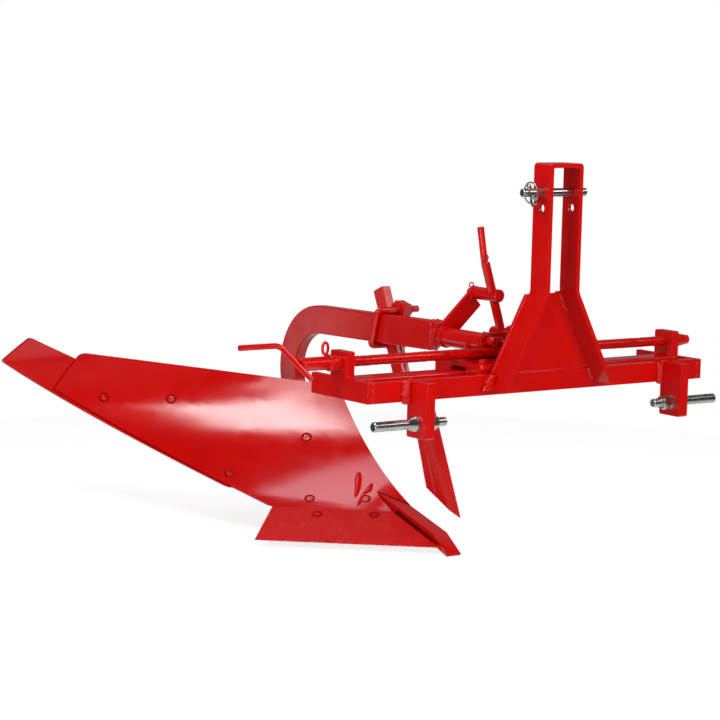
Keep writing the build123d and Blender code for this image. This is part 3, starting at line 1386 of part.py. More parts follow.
# Knife coulter: a square shank clamped against the beam, swept forward into a bevelled blade
lean = radians(COULTER_LEAN)
shank_x = beam_land + SLIDE
coulter_y = boss_back + COULTER_RUN
coulter_z = beam_z - COULTER_RUN * tan(droop)
coulter_plane = Plane(
    origin=(shank_x, coulter_y, coulter_z),
    x_dir=(0, cos(lean), -sin(lean)),
    z_dir=(1, 0, 0),
)
with BuildPart() as coulter:
    with BuildSketch(coulter_plane):
        with BuildLine():
            Polyline(
                (SHANK_BACK, SHANK_TOP),
                (-SHANK_FRONT, SHANK_TOP),
                (-SHANK_FRONT, -SHANK_DOWN),
                (-BLADE_FRONT, -BLADE_SHOULDER),
                (-SHANK_FRONT, -SHANK_DOWN - SHANK_LAP),
                (SHANK_BACK, -SHANK_DOWN - SHANK_BACK),
                close=True,
            )
        make_face()
    extrude(amount=SHANK_T)
    with BuildSketch(coulter_plane):
        with BuildLine():
            Polyline(
                (-SHANK_FRONT, -SHANK_DOWN),
                (-BLADE_FRONT, -BLADE_SHOULDER),
                (-BLADE_FRONT, -BLADE_TIP),
                (-BLADE_BACK, -BLADE_HEEL),
                (-SHANK_FRONT, -BLADE_BACK_TOP),
                (SHANK_BACK, -SHANK_DOWN - SHANK_BACK),
                (SHANK_BACK, -SHANK_DOWN),
                close=True,
            )
        make_face()
    extrude(amount=BLADE_T)
    edge_foot = coulter_plane.from_local_coords((-BLADE_FRONT, -BLADE_TIP, 0))
    with BuildSketch(Plane(edge_foot, x_dir=(1, 0, 0), z_dir=coulter_plane.y_dir)):
        with BuildLine():
            Polyline((0, 0), (BLADE_T - BLADE_EDGE_T, 0), (0, -BLADE_BEVEL), close=True)
        make_face()
    extrude(amount=BLADE_TIP - BLADE_SHOULDER, both=True, mode=Mode.SUBTRACT)
coulter.part.label = "coulter"
export_step(coulter.part, "parts/coulter.step")

# Clamp: the upper leg of the leaning U-bolt passes before the shank, the lower one behind it
u_turn = radians(COULTER_LEAN - BEAM_DROOP)
u_off = BEAM_H / 2 + U_BOLT_D / 2 + SLIDE
u_top_x = -SHANK_FRONT - U_BOLT_D / 2 - U_BOLT_GAP
u_low_x = SHANK_BACK + U_BOLT_D / 2 + U_BOLT_GAP
u_top = coulter_plane.from_local_coords((u_top_x, (u_off + u_top_x * sin(u_turn)) / cos(u_turn), 0))
u_low = coulter_plane.from_local_coords((u_low_x, (u_low_x * sin(u_turn) - u_off) / cos(u_turn), 0))
u_half = (u_top - u_low).length / 2
u_lean = (u_top - u_low).normalized()
u_mid = (u_top + u_low) / 2
clamp_x = shank_x + SHANK_T + SLIDE
clamp_plane = Plane(origin=(clamp_x, u_mid.Y, u_mid.Z), x_dir=(0, u_lean.Z, -u_lean.Y), z_dir=(1, 0, 0))
u_plane = Plane(origin=(0, u_mid.Y, u_mid.Z), x_dir=(1, 0, 0), z_dir=(0, -u_lean.Z, u_lean.Y))
u_places = [(0, u_half), (0, -u_half)]
u_back = beam_furrow - U_BOLT_D / 2 - SEAT
u_end = clamp_x + CLAMP_T + U_BOLT_TAIL
with BuildPart() as u_bolt:
    with BuildLine(u_plane) as u_path:
        FilletPolyline(
            (u_end, u_half),
            (u_back, u_half),
            (u_back, -u_half),
            (u_end, -u_half),
            radius=U_BOLT_BEND_R,
        )
    with BuildSketch(Plane(origin=u_path.line @ 0, z_dir=u_path.line % 0)):
        Circle(U_BOLT_D / 2)
    sweep()
u_bolt.part.label = "u_bolt"
export_step(u_bolt.part, "parts/u_bolt.step")

with BuildPart() as clamp_plate:
    with BuildSketch(clamp_plane):
        RectangleRounded(CLAMP_W, 2 * (u_half + CLAMP_EDGE), CLAMP_CORNER)
        with Locations(*u_places):
            Circle(U_BOLT_D / 2 + SEAT, mode=Mode.SUBTRACT)
    extrude(amount=CLAMP_T)
clamp_plate.part.label = "clamp_plate"
export_step(clamp_plate.part, "parts/clamp_plate.step")

with BuildPart() as u_bolt_nuts:
    with BuildSketch(clamp_plane.offset(CLAMP_T)):
        with Locations(*u_places):
            RegularPolygon(U_NUT_AF / 2, 6, major_radius=False)
            Circle(U_BOLT_D / 2 + SEAT, mode=Mode.SUBTRACT)
    extrude(amount=U_NUT_T)
u_bolt_nuts.part.label = "u_bolt_nuts"
export_step(u_bolt_nuts.part, "parts/u_bolt_nuts.step")
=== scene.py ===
import math
from random import Random

import bmesh
import bpy
from mathutils import Matrix, Quaternion, Vector


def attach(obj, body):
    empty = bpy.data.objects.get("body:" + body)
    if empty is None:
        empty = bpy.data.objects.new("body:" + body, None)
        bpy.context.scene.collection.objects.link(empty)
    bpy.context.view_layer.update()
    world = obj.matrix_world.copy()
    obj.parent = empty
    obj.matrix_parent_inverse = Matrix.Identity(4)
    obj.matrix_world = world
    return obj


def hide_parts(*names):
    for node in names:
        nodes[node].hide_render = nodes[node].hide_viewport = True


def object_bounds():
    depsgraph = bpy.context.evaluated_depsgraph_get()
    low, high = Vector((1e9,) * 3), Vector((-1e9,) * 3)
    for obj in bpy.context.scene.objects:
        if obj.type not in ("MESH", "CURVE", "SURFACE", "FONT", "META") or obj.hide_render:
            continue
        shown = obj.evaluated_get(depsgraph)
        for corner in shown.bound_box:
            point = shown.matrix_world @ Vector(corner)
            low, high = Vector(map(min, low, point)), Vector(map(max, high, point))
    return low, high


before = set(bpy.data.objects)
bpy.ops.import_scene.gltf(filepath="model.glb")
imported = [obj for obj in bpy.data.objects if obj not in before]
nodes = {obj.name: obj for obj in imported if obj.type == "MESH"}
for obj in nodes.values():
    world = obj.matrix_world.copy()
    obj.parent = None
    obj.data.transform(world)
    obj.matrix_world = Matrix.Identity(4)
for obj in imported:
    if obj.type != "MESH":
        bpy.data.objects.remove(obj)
cad_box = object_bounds()

# Sizes and places of the pieces are in millimetres, lamps and studio in metres
MM = 0.001
FULL_TURN = 2 * math.pi
BOTH_SIDES = (-1, 1)  # the furrow side and the land side
LANDWARD, REARWARD, FORWARD, UPWARD = (1, 0, 0), (0, 1, 0), (0, -1, 0), (0, 0, 1)


# Colours and shader nodes

def linear(hexa):
    """An sRGB hex colour as the linear RGBA that a socket takes."""
    parts = [int(hexa[i:i + 2], 16) / 255 for i in (1, 3, 5)]
    return tuple(c / 12.92 if c <= 0.04045 else ((c + 0.055) / 1.055) ** 2.4 for c in parts) + (1.0,)


def add(tree, kind, inputs=None, **settings):
    """One node with its settings; a socket given as an input is linked, a plain value is set."""
    made = tree.nodes.new(kind)
    for name, value in settings.items():
        setattr(made, name, value)
    for name, value in (inputs or {}).items():
        if isinstance(value, bpy.types.NodeSocket):
            tree.links.new(value, made.inputs[name])
        else:
            made.inputs[name].default_value = value
    return made


def per_mm(size):
    """Texture scale that gives a pattern of that size in millimetres."""
    return 1 / (size * MM)


def noise(tree, place, size, detail, roughness=0.5):
    """A cloudy pattern of that size in millimetres."""
    return add(tree, "ShaderNodeTexNoise", {
        "Vector": place, "Scale": per_mm(size), "Detail": detail, "Roughness": roughness}).outputs["Fac"]


def ranged(tree, value, low, high, least=0.0, most=1.0, curve="LINEAR"):
    """A value that goes from least to most while another goes from low to high."""
    return add(tree, "ShaderNodeMapRange", {
        "Value": value, "From Min": low, "From Max": high, "To Min": least, "To Max": most},
        interpolation_type=curve).outputs["Result"]


def blended(tree, share, first, second):
    """The first colour, and the second by its share."""
    return add(tree, "ShaderNodeMix", {0: share, 6: first, 7: second}, data_type="RGBA").outputs[2]


def relief(tree, height, strength, deep, under=None):
    """Bumps of that depth in millimetres, on top of the relief under them."""
    inputs = {"Height": height, "Strength": strength, "Distance": deep * MM}
    if under is not None:
        inputs["Normal"] = under
    return add(tree, "ShaderNodeBump", inputs).outputs["Normal"]


def new_material(name):
    material = bpy.data.materials.new(name)
    material.use_nodes = True
    tree = material.node_tree
    tree.nodes.clear()
    return material, tree


# Each red as the thinnest and the thickest film of it
FRESH_RED = ("#BC0402", "#CE0805")
# A darker copy of the fresh red, as painted shade for the board and its bolts, which the lamps light more
# strongly
SHADED_BOARD_RED = ("#B60402", "#C80805")
# Painted shade of the rings round the plough bolts' heads
RIM_SHADE_RED = ("#7A0403", "#960504")
# Painted shade of the crevices and slots
CREVICE_SHADE_RED = ("#4A0201", "#7C0302")
# Painted shade with pooled paint, for the pits of the thread and of the crevices
POOLED_AND_SHADED_RED = "#8A0402"
FILM_DRIFT, FILM_HAZE = 160, 45
# The real peel is about 3 mm wide and the grit about 1 mm; both are drawn coarser so that they show
# at this distance, each material with its own width
PEEL_DEEP, GRIT_DEEP = 1.2, 1.0
ENAMEL_IOR = 1.6


def red_enamel(name, tones=FRESH_RED, rough=0.2, peel=0.05, peel_mm=9.0, grit=0.0, grit_mm=4.0,
               shaded_pits_mm=None, specular=0.5):
    """Brushed and sprayed alkyd enamel on steel: a deep even red under a wet gloss, a little orange peel
    in the film, slow drifts of film thickness, and fine grit where the steel under it is rough."""
    material, tree = new_material(name)
    place = add(tree, "ShaderNodeTexCoord").outputs["Object"]
    drift = noise(tree, place, FILM_DRIFT, 3.0)
    film = blended(tree, drift, linear(tones[0]), linear(tones[1]))
    if shaded_pits_mm:
        # Painted shade and pooled paint: darker patches at random stand for the shadow and the thicker
        # paint in the pits between crests and puddles
        hollow_shade = noise(tree, place, shaded_pits_mm, 3.0, 0.6)
        film = blended(tree, ranged(tree, hollow_shade, 0.36, 0.54), linear(POOLED_AND_SHADED_RED), film)
    haze = noise(tree, place, FILM_HAZE, 4.0)
    normal = relief(tree, noise(tree, place, peel_mm, 2.0), peel, PEEL_DEEP)
    if grit:
        normal = relief(tree, noise(tree, place, grit_mm, 5.0, 0.7), grit, GRIT_DEEP, normal)
    surface = add(tree, "ShaderNodeBsdfPrincipled", {
        "Base Color": film, "Roughness": ranged(tree, haze, 0.3, 0.7, rough * 0.8, rough * 1.25),
        "IOR": ENAMEL_IOR, "Specular IOR Level": specular, "Normal": normal})
    add(tree, "ShaderNodeOutputMaterial", {"Surface": surface.outputs["BSDF"]})
    return material


ZINC_CLOUD = 30
# Real lathe marks are about 0.2 mm apart; they are drawn coarser so that they show at this distance
LATHE_MARKS = 4
LATHE_DEEP = 0.5


def zinc_plate(name, dull="#A2A8A1", bright="#DDE2DB", smoothest=0.22):
    """Turned steel with bright zinc plate: a cool grey metal with faint lathe marks, a hazy gloss and
    a greenish passivate."""
    material, tree = new_material(name)
    place = add(tree, "ShaderNodeTexCoord").outputs["Object"]
    cloud = noise(tree, place, ZINC_CLOUD, 4.0)
    lathe = noise(tree, place, LATHE_MARKS, 3.0)
    surface = add(tree, "ShaderNodeBsdfPrincipled", {
        "Base Color": blended(tree, cloud, linear(dull), linear(bright)), "Metallic": 1.0,
        "Roughness": ranged(tree, lathe, 0.0, 1.0, smoothest, smoothest + 0.14),
        "Normal": relief(tree, lathe, 0.08, LATHE_DEEP)})
    add(tree, "ShaderNodeOutputMaterial", {"Surface": surface.outputs["BSDF"]})
    return material


# Bars and plates: an even wet gloss in which the lamps have soft edges
enamel = red_enamel("red_enamel_on_rolled_steel")
# Board, tail and paint runs: the smoothest film, with the clearest picture of the lamps, in a red
# darkened as painted shade against the stronger light on the board
board_enamel = red_enamel("red_enamel_on_pressed_sheet", SHADED_BOARD_RED, 0.12, peel=0.04, peel_mm=7.0)
# Share and coulter: the gloss is broken up by the uneven skin of the forging
forged_enamel = red_enamel("red_enamel_on_forged_steel", rough=0.24, grit=0.14, grit_mm=5.0)
# Weld beads: wet paint over coarse ripples, so that each puddle has its own small sparkle
weld_enamel = red_enamel("red_enamel_on_weld_beads", rough=0.08, grit=1.0, grit_mm=4.5)
# Lateral screw: sparkling lumps of paint on the crests, and dark pits between them that are painted shade
# and pooled paint
thread_enamel = red_enamel("red_enamel_flooding_a_thread", rough=0.09, grit=1.0, grit_mm=6.0, shaded_pits_mm=8.0)
# Plough bolts: a gloss like the board's, the board's red with its painted shade, and the dimples of the
# forging die
head_enamel = red_enamel("red_enamel_on_bolt_heads", SHADED_BOARD_RED, 0.1, grit=0.22, grit_mm=6.0)
# Painted shade for crevices and slots: a dark red with almost no gloss, standing for the shade where no
# lamp reaches
CREVICE_SHADE_FINISH = {"rough": 0.8, "grit": 0.4, "grit_mm": 4.0, "specular": 0.08}
# Slots beside the bar point: painted shade, almost black, so that they read as gaps
crevice_shade_enamel = red_enamel("red_enamel_painted_shade_in_a_crevice", CREVICE_SHADE_RED, shaded_pits_mm=14.0, **CREVICE_SHADE_FINISH)
# Rings round the plough bolts: painted shade of the crevice round each head, a dull dark red that sets
# the heads off from the board
rim_shade_enamel = red_enamel("red_enamel_painted_shade_round_bolt_heads", RIM_SHADE_RED, **CREVICE_SHADE_FINISH)
# Pins, nuts and washers: pale cool metal that shows the lamps as broad hazy streaks
zinc = zinc_plate("bright_zinc_plate")
# Ends of the lower pins: a dull, darker grey without streaks
sawn_zinc = zinc_plate("zinc_plate_on_a_sawn_end", dull="#6A6E69", bright="#8E928C", smoothest=0.5)

FINISHES = (
    (zinc, ("lower_pin_land", "lower_pin_furrow", "lower_pin_nuts", "lower_pin_washers", "top_link_pin",
            "linch_pin", "linch_ring")),
    (board_enamel, ("mouldboard", "tail_extension", "plough_bolts")),
    (forged_enamel, ("share", "coulter", "frog")),
)
finish_of = {node: material for material, some in FINISHES for node in some}
for node, solid in nodes.items():
    solid.data.materials.clear()
    solid.data.materials.append(finish_of.get(node, enamel))


# Rolled and sawn edges: the solids' sharp edges get the small round that paint and rolling leave

SAME_PLACE = 0.004
FLAT_DEGREES, EDGE_DEGREES = 0.4, 35
BAR_ROUND, PLATE_ROUND, BOLT_ROUND = 1.6, 1.2, 0.8


def round_edges(solid, width):
    weld = solid.modifiers.new("join_faces", "WELD")
    weld.merge_threshold = SAME_PLACE * MM
    merge = solid.modifiers.new("join_flats", "DECIMATE")
    merge.decimate_type = "DISSOLVE"
    merge.angle_limit = math.radians(FLAT_DEGREES)
    bevel = solid.modifiers.new("worn_edges", "BEVEL")
    bevel.width = width * MM
    bevel.segments = 2
    bevel.limit_method = "ANGLE"
    bevel.angle_limit = math.radians(EDGE_DEGREES)
    bevel.use_clamp_overlap = True
    bevel.miter_outer = "MITER_ARC"
    shading = solid.modifiers.new("even_shading", "WEIGHTED_NORMAL")
    shading.keep_sharp = False
    shading.weight = 80


EDGE_ROUNDS = {
    BAR_ROUND: ("front_bar", "rear_bar", "end_plate_land", "end_plate_furrow", "mast_gusset",
                "lower_lug_land", "lower_lug_furrow", "screw_block_land", "screw_block_furrow"),
    PLATE_ROUND: ("beam", "tilt_lever", "carriage_plate", "front_guide", "rear_guide", "keeper_plate",
                  "carriage_upright", "tube_saddle", "trunnion_lug", "clamp_plate", "landside", "frog",
                  "bar_point"),
    BOLT_ROUND: ("carriage_bolts", "u_bolt_nuts", "leg_bolts", "landside_bolts", "tilt_screw_nut",
                 "pivot_tube", "screw_collar", "crank_sleeve", "lower_trunnion", "trunnion_collar",
                 "upper_trunnion", "screw_nut"),
}
for width, some in EDGE_ROUNDS.items():
    for node in some:
        round_edges(nodes[node], width)


# Mesh pieces

def placed(name, data):
    """A new object in the scene."""
    made = bpy.data.objects.new(name, data)
    bpy.context.scene.collection.objects.link(made)
    return made


def built(name, points, faces, body, material, slot="red_enamel", smooth=True, crease=None):
    """A piece from points in millimetres that moves with a body; edges sharper than crease degrees
    stay hard."""
    shape = bmesh.new()
    spots = [shape.verts.new(Vector(p) * MM) for p in points]
    for face in faces:
        shape.faces.new([spots[i] for i in face])
    bmesh.ops.recalc_face_normals(shape, faces=shape.faces)
    for face in shape.faces:
        face.smooth = smooth
    mesh = bpy.data.meshes.new(name)
    shape.to_mesh(mesh)
    shape.free()
    if crease:
        mesh.set_sharp_from_angle(angle=math.radians(crease))
    mesh.materials.append(material)
    piece = placed(name, mesh)
    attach(piece, body)
    return piece


def swept(rings, closed=False):
    """Points and faces that join equal rings in turn; open ends are capped."""
    count, total = len(rings[0]), len(rings)
    faces = []
    for i in range(total if closed else total - 1):
        a, b = i * count, (i + 1) % total * count
        for j in range(count):
            k = (j + 1) % count
            faces.append((a + j, a + k, b + k, b + j))
    if not closed:
        faces.append(tuple(range(count)))
        faces.append(tuple(range((total - 1) * count, total * count)))
    return [p for ring in rings for p in ring], faces


def joined(shapes):
    """One list of points and one of faces from several."""
    points, faces = [], []
    for some_points, some_faces in shapes:
        first = len(points)
        points += some_points
        faces += [tuple(first + i for i in face) for face in some_faces]
    return points, faces


def turns(count):
    """The angles of equal steps round a whole turn."""
    return [FULL_TURN * j / count for j in range(count)]


def square_to(axis):
    """Two directions that are square to an axis and to each other."""
    across = axis.orthogonal().normalized()
    return across, axis.cross(across)


def spoke(across, over, turn):
    """The direction at an angle between two directions."""
    return across * math.cos(turn) + over * math.sin(turn)


def turned(start, way, profile, sides=48):
    """A turned shape: its profile gives the way along the axis and the radius, in millimetres."""
    axis = Vector(way).normalized()
    across, over = square_to(axis)
    rings = []
    for reach, radius in profile:
        middle = Vector(start) + axis * reach
        rings.append([middle + spoke(across, over, t) * radius for t in turns(sides)])
    return swept(rings)


def circle(centre, axis, radius, steps=40, start=0.0, sweep=360.0):
    """Points on an upright circle round a level axis, or on an arc of it; angles count from its top, and
    the last point is on the first when it is whole."""
    top = Vector(UPWARD)
    over = Vector(axis).cross(top)
    arc = [math.radians(start + sweep * i / steps) for i in range(steps + 1)]
    return [Vector(centre) + spoke(top, over, t) * radius for t in arc]


# Mast: the real bar is bent over its top almost square, tighter than the solid's bend

BEND_X, BEND_Z = 27.5, 539.5
BEND_OUTER, BEND_INNER = 21.0, 11.0
TIGHT_OUTER, TIGHT_INNER = 9.5, 2.5
STRAIGHT_SHARE = 0.2


def tight_bend(reach, corner, share):
    """A place on a tight corner by its share of the turn, across and up from the centre of the wide
    bend. The first and last shares are straight."""
    straight = reach - corner
    if share < STRAIGHT_SHARE:
        return Vector((reach, straight * share / STRAIGHT_SHARE))
    if share > 1 - STRAIGHT_SHARE:
        return Vector((straight * (1 - share) / STRAIGHT_SHARE, reach))
    turn = math.radians(90 * (share - STRAIGHT_SHARE) / (1 - 2 * STRAIGHT_SHARE))
    return Vector((straight + corner * math.cos(turn), straight + corner * math.sin(turn)))


def bent_bar():
    """Points and faces of the mast's bar, with the two wide bends of the solid drawn into tight ones."""
    shape = bmesh.new()
    shape.from_mesh(nodes["mast_strap"].data)
    bmesh.ops.remove_doubles(shape, verts=shape.verts, dist=SAME_PLACE * MM)
    points = []
    for vert in shape.verts:
        x, y, z = vert.co / MM
        across, up = abs(x) - BEND_X, z - BEND_Z
        if across > 0 and up > 0:
            share = math.atan2(up, across) / (math.pi / 2)
            depth = (math.hypot(across, up) - BEND_INNER) / (BEND_OUTER - BEND_INNER)
            inner = tight_bend(BEND_INNER, TIGHT_INNER, share)
            spot = inner.lerp(tight_bend(BEND_OUTER, TIGHT_OUTER, share), depth)
            x, z = math.copysign(BEND_X + spot.x, x), BEND_Z + spot.y
        points.append((x, y, z))
    shape.verts.index_update()
    faces = [[vert.index for vert in face.verts] for face in shape.faces]
    shape.free()
    return points, faces


mast_bar = built("mast_bent_bar", *bent_bar(), "headstock", enamel)
round_edges(mast_bar, BAR_ROUND)
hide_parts("mast_strap")


# Welds

BEAD_SIDES = 12
# Length of a puddle: this much, and this share of the bead's size
PUDDLE_LEAST, PUDDLE_SHARE = 2.0, 0.42
STEPS_PER_PUDDLE = 4
# Shares of the bead's size: the width of a puddle, its shift sideways and the grain of its skin
PUDDLE_WIDTHS, PUDDLE_SHIFTS, BEAD_GRAIN = (0.74, 1.14), (-0.2, 0.2), (0.93, 1.06)
PUDDLE_FALL = 0.26
END_TAPER, BLUNT_END = 0.8, 0.06


def weld_bead(path, size, crown, seed):
    """A hand-laid bead along a path: overlapping puddles, each with its own width and crown.
    It swells towards crown, or away from a point that is given after the word hub; a path that ends
    where it starts makes a ring."""
    chance = Random(seed)
    stops = [Vector(p) for p in path]
    ring = (stops[0] - stops[-1]).length < 0.01
    reach = [0.0]
    for a, b in zip(stops, stops[1:]):
        reach.append(reach[-1] + (b - a).length)
    length = reach[-1]
    pitch = PUDDLE_LEAST + PUDDLE_SHARE * size
    puddles = [(chance.uniform(*PUDDLE_WIDTHS), chance.uniform(*PUDDLE_SHIFTS))
               for _ in range(int(length / pitch) + 4)]
    count = max(8, int(length / pitch * STEPS_PER_PUDDLE))
    rings = []
    for i in range(count if ring else count + 1):
        s = length * i / count
        k = max(j for j in range(len(stops) - 1) if reach[j] <= s + 1e-6)
        way = stops[k + 1] - stops[k]
        here = stops[k] + way * ((s - reach[k]) / way.length)
        way.normalize()
        swell = here - Vector(crown[1]) if crown[0] == "hub" else Vector(crown)
        swell = (swell - way * swell.dot(way)).normalized()
        side = way.cross(swell)
        near_end = 1.0 if ring else min(1.0, min(s, length - s) / (END_TAPER * size))
        taper = math.sqrt(max(BLUNT_END, 1 - (1 - near_end) ** 2))
        loop = []
        for turn in turns(BEAD_SIDES):
            spot = (s + 0.5 * pitch * max(0.0, math.cos(turn))) / pitch
            width, shift = puddles[int(spot)]
            fall = 1 - PUDDLE_FALL * (spot % 1) ** 2
            radius = size * width * fall * taper * chance.uniform(*BEAD_GRAIN)
            loop.append(here + swell * (radius * math.cos(turn))
                        + side * (radius * math.sin(turn) + shift * size))
        rings.append(loop)
    return swept(rings, ring)


def welds(name, body, beads):
    """All the beads of one place as one piece; a bead is its path, its size and the way it swells."""
    shapes = [weld_bead(*bead, seed=17 * number + len(name)) for number, bead in enumerate(beads)]
    built(name, *joined(shapes), body, weld_enamel)


BAR_LOW, BAR_TOP, BAR_END = 43.5, 90.5, 480.0
FRONT_Y, FRONT_BAR_BACK, REAR_BAR_FRONT, REAR_BAR_BACK = 34.0, 54, 106, 160
LUG_X, LUG_HALF, LUG_TOP = 376.0, 12.5, 91.5
BLOCK_INNER, BLOCK_NEAR, BLOCK_FAR = 473.0, 475.0, 493.0
BLOCK_FRONT, BLOCK_BACK = 114, 174

headstock_beads = []
for side in BOTH_SIDES:
    end, lug, block = BAR_END * side, LUG_X * side, BLOCK_INNER * side
    near, far = BLOCK_NEAR * side, BLOCK_FAR * side
    headstock_beads += [
        ([(end, FRONT_Y + 3.5, BAR_LOW + 1), (end, FRONT_Y + 3.5, BAR_TOP - 1)], 7.5, (0, -1, 0)),
        ([(end, FRONT_Y + 3, BAR_TOP - 2.2), (end, FRONT_BAR_BACK, BAR_TOP - 2.2)], 4.0, (0, 0, 1)),
        ([(end, FRONT_BAR_BACK, BAR_LOW + 2), (end, FRONT_BAR_BACK, BAR_TOP - 2)], 5.0, (-side, 1, 0)),
        ([(end, REAR_BAR_FRONT, BAR_LOW + 2), (end, REAR_BAR_FRONT, BAR_TOP - 2)], 5.0, (-side, -1, 0)),
        ([(end, REAR_BAR_FRONT + 2, BAR_TOP - 1.5), (end, REAR_BAR_BACK - 2, BAR_TOP - 1.5)], 4.5,
         (0, 0, 1)),
        ([(end, REAR_BAR_BACK, BAR_LOW + 2), (end, REAR_BAR_BACK, BAR_TOP - 2)], 5.5, (-side, 1, 0)),
        ([(lug - 10, FRONT_Y + 1, 91), (lug + 10, FRONT_Y + 1, 91)], 3.4, (0, 0, 1)),
        ([(lug - 11, FRONT_Y, BAR_LOW), (lug + 11, FRONT_Y, BAR_LOW)], 5.0, (0, 1, -1)),
        ([(block, BLOCK_FRONT + 2, BAR_TOP), (block, BLOCK_BACK - 2, BAR_TOP)], 5.5, (-side, 0, 1)),
        ([(near, BLOCK_FRONT, BAR_TOP), (far, BLOCK_FRONT, BAR_TOP)], 5.0, (0, -1, 1)),
        ([(near, BLOCK_BACK, BAR_TOP), (far, BLOCK_BACK, BAR_TOP)], 5.0, (0, 1, 1)),
    ]
welds("headstock_welds", "headstock", headstock_beads)

FILLET_STEP, FILLET_CROWN, FILLET_FACETS = 3.2, 0.42, 6
FILLET_END = 0.55


def fillet_weld(foot, head, first, second, seed):
    """A broad fillet in an inside corner, from its foot to its head, with a lumpy face between its
    two legs."""
    chance = Random(seed)
    foot, head, first, second = Vector(foot), Vector(head), Vector(first), Vector(second)
    steps = max(4, int((head - foot).length / FILLET_STEP))
    rings = []
    for i in range(steps + 1):
        inside = 0 < i < steps
        full = 1.0 if inside else FILLET_END
        root = foot.lerp(head, i / steps)
        loop = [root]
        for j in range(FILLET_FACETS + 1):
            t = j / FILLET_FACETS
            bulge = 1.0 + FILLET_CROWN * math.sin(math.pi * t) + chance.uniform(-0.2, 0.2)
            shift = (head - foot) * (chance.uniform(-0.3, 0.3) / steps if inside else 0)
            loop.append(root + shift + (first * (1 - t) + second * t) * (bulge * full))
        rings.append(loop)
    return swept(rings)


def mast_fillet(side):
    """The fillet on the outer side of a foot of the mast."""
    return fillet_weld((161.5 * side, FRONT_Y, 56), (145.5 * side, FRONT_Y, 90),
                       (21.0 * side, 0, -4.0), (2.0 * side, -14.0, 0), 31 + side)


def lug_fillet(side, face):
    """One of the two fillets beside a lug; the one on its outer side is broader."""
    x = LUG_X * side + LUG_HALF * face
    wide, deep = (17.0, 14.0) if face == side else (13.0, 11.0)
    return fillet_weld((x, FRONT_Y, BAR_LOW - 5), (x, FRONT_Y, LUG_TOP),
                       (wide * face, 0, 0), (0, -deep, 0), 5 + 2 * side + face)


built("lug_welds", *joined(
    [mast_fillet(side) for side in BOTH_SIDES]
    + [lug_fillet(side, face) for side in BOTH_SIDES for face in BOTH_SIDES]), "headstock", weld_enamel)

FOOT_X, FOOT_Z = 162.0, 58.0
KNEE_X, KNEE_Z = 48.5, 271.5
STRAP_SLOPE = (FOOT_X - KNEE_X) / (KNEE_Z - FOOT_Z)
GUSSET_BACK = 44


def strap_x(side, z, off):
    """Place across of a sloping leg of the mast at a height, off from its outer face."""
    return side * (FOOT_X - STRAP_SLOPE * (z - FOOT_Z) + off)


mast_beads = []
for side in BOTH_SIDES:
    mast_beads += [
        ([(strap_x(side, z, -11.5), FRONT_Y, z) for z in (60, 90)], 5.5, (-side, -1, 0)),
        ([(strap_x(side, z, -2), 36, z) for z in (96, 262)], 3.2, (side, -1, 0)),
        ([(strap_x(side, z, -12), FRONT_Y, z) for z in (222, 266)], 6.0, (-side, -1, 0)),
        ([(side * 30.0, 39, 265), (side * 46.0, 38, 266)], 4.5, (0, 0, 1)),
        ([(strap_x(side, FOOT_Z, off), 33, 57.5) for off in (-3, -9)], 4.0, (0, -0.3, -1)),
    ]
mast_beads.append(([(-140, GUSSET_BACK, BAR_TOP), (140, GUSSET_BACK, BAR_TOP)], 4.0, (0, 1, 1)))
welds("mast_welds", "headstock", mast_beads)

PLATE_TOP = 109.5
PIVOT_X, PIVOT_Z = -66.0, 141.5
TUBE_RADIUS = 22.5


def on_pivot(y):
    """A point on the axis about which the beam rolls."""
    return (PIVOT_X, y, PIVOT_Z)


def plate_bead(start, end, y, size, lean):
    """A bead across the carriage plate, at the front (-1) or the back (1) of what stands on it."""
    return [(start, y, PLATE_TOP), (end, y, PLATE_TOP)], size, (0, lean, 1)


def tube_bead(y, hub_y):
    """A bead round the land side of the pivot tube, where it meets the upright."""
    arc = circle(on_pivot(y), REARWARD, TUBE_RADIUS, steps=24, start=10, sweep=170)
    return arc, 4.0, ("hub", on_pivot(hub_y))


welds("carriage_welds", "carriage", [
    plate_bead(-40, 68, 170, 4.5, -1),
    plate_bead(-40, 20, 180, 4.5, 1),
    tube_bead(170, 182),
    tube_bead(180, 168),
    plate_bead(-90, -42, 196, 4.0, -1),
    plate_bead(-90, -42, 206, 4.0, 1),
    plate_bead(24, 64, 198, 4.5, -1),
    plate_bead(24, 64, 210, 4.5, 1),
    plate_bead(-40, 6, 164, 4.0, 1),
    plate_bead(-40, 6, 120, 4.0, -1),
])

# Heavy uneven beads where the boss, the lever and the beam are welded together
BOSS_RING = ((-11, -24), (-11, 0), (-11, 24), (-7, 31), (7, 31), (11, 24), (11, 0), (11, -24),
             (7, -31), (-7, -31), (-11, -24))
BOSS_RADIUS = 23.5
welds("boss_welds", "plough_beam", [
    ([(PIVOT_X + x, 351, PIVOT_Z + z) for x, z in BOSS_RING], 6.5, ("hub", on_pivot(348))),
    (circle(on_pivot(327), REARWARD, BOSS_RADIUS), 2.6, ("hub", on_pivot(327))),
    (circle(on_pivot(313), REARWARD, BOSS_RADIUS, steps=28, start=-35, sweep=190), 5.0,
     ("hub", on_pivot(306))),
    ([(-74, 318, 165), (-76, 330, 169), (-74, 346, 174)], 7.0, (-0.5, 0, 1)),
    ([(-64, 316, 167), (-66, 332, 171), (-64, 348, 175)], 7.5, (0, 0, 1)),
    ([(-55, 318, 165), (-56, 334, 170)], 6.0, (0.5, 0, 1)),
    ([(-74, 334, 116), (-72, 350, 112)], 6.0, (-0.6, 0, -1)),
])

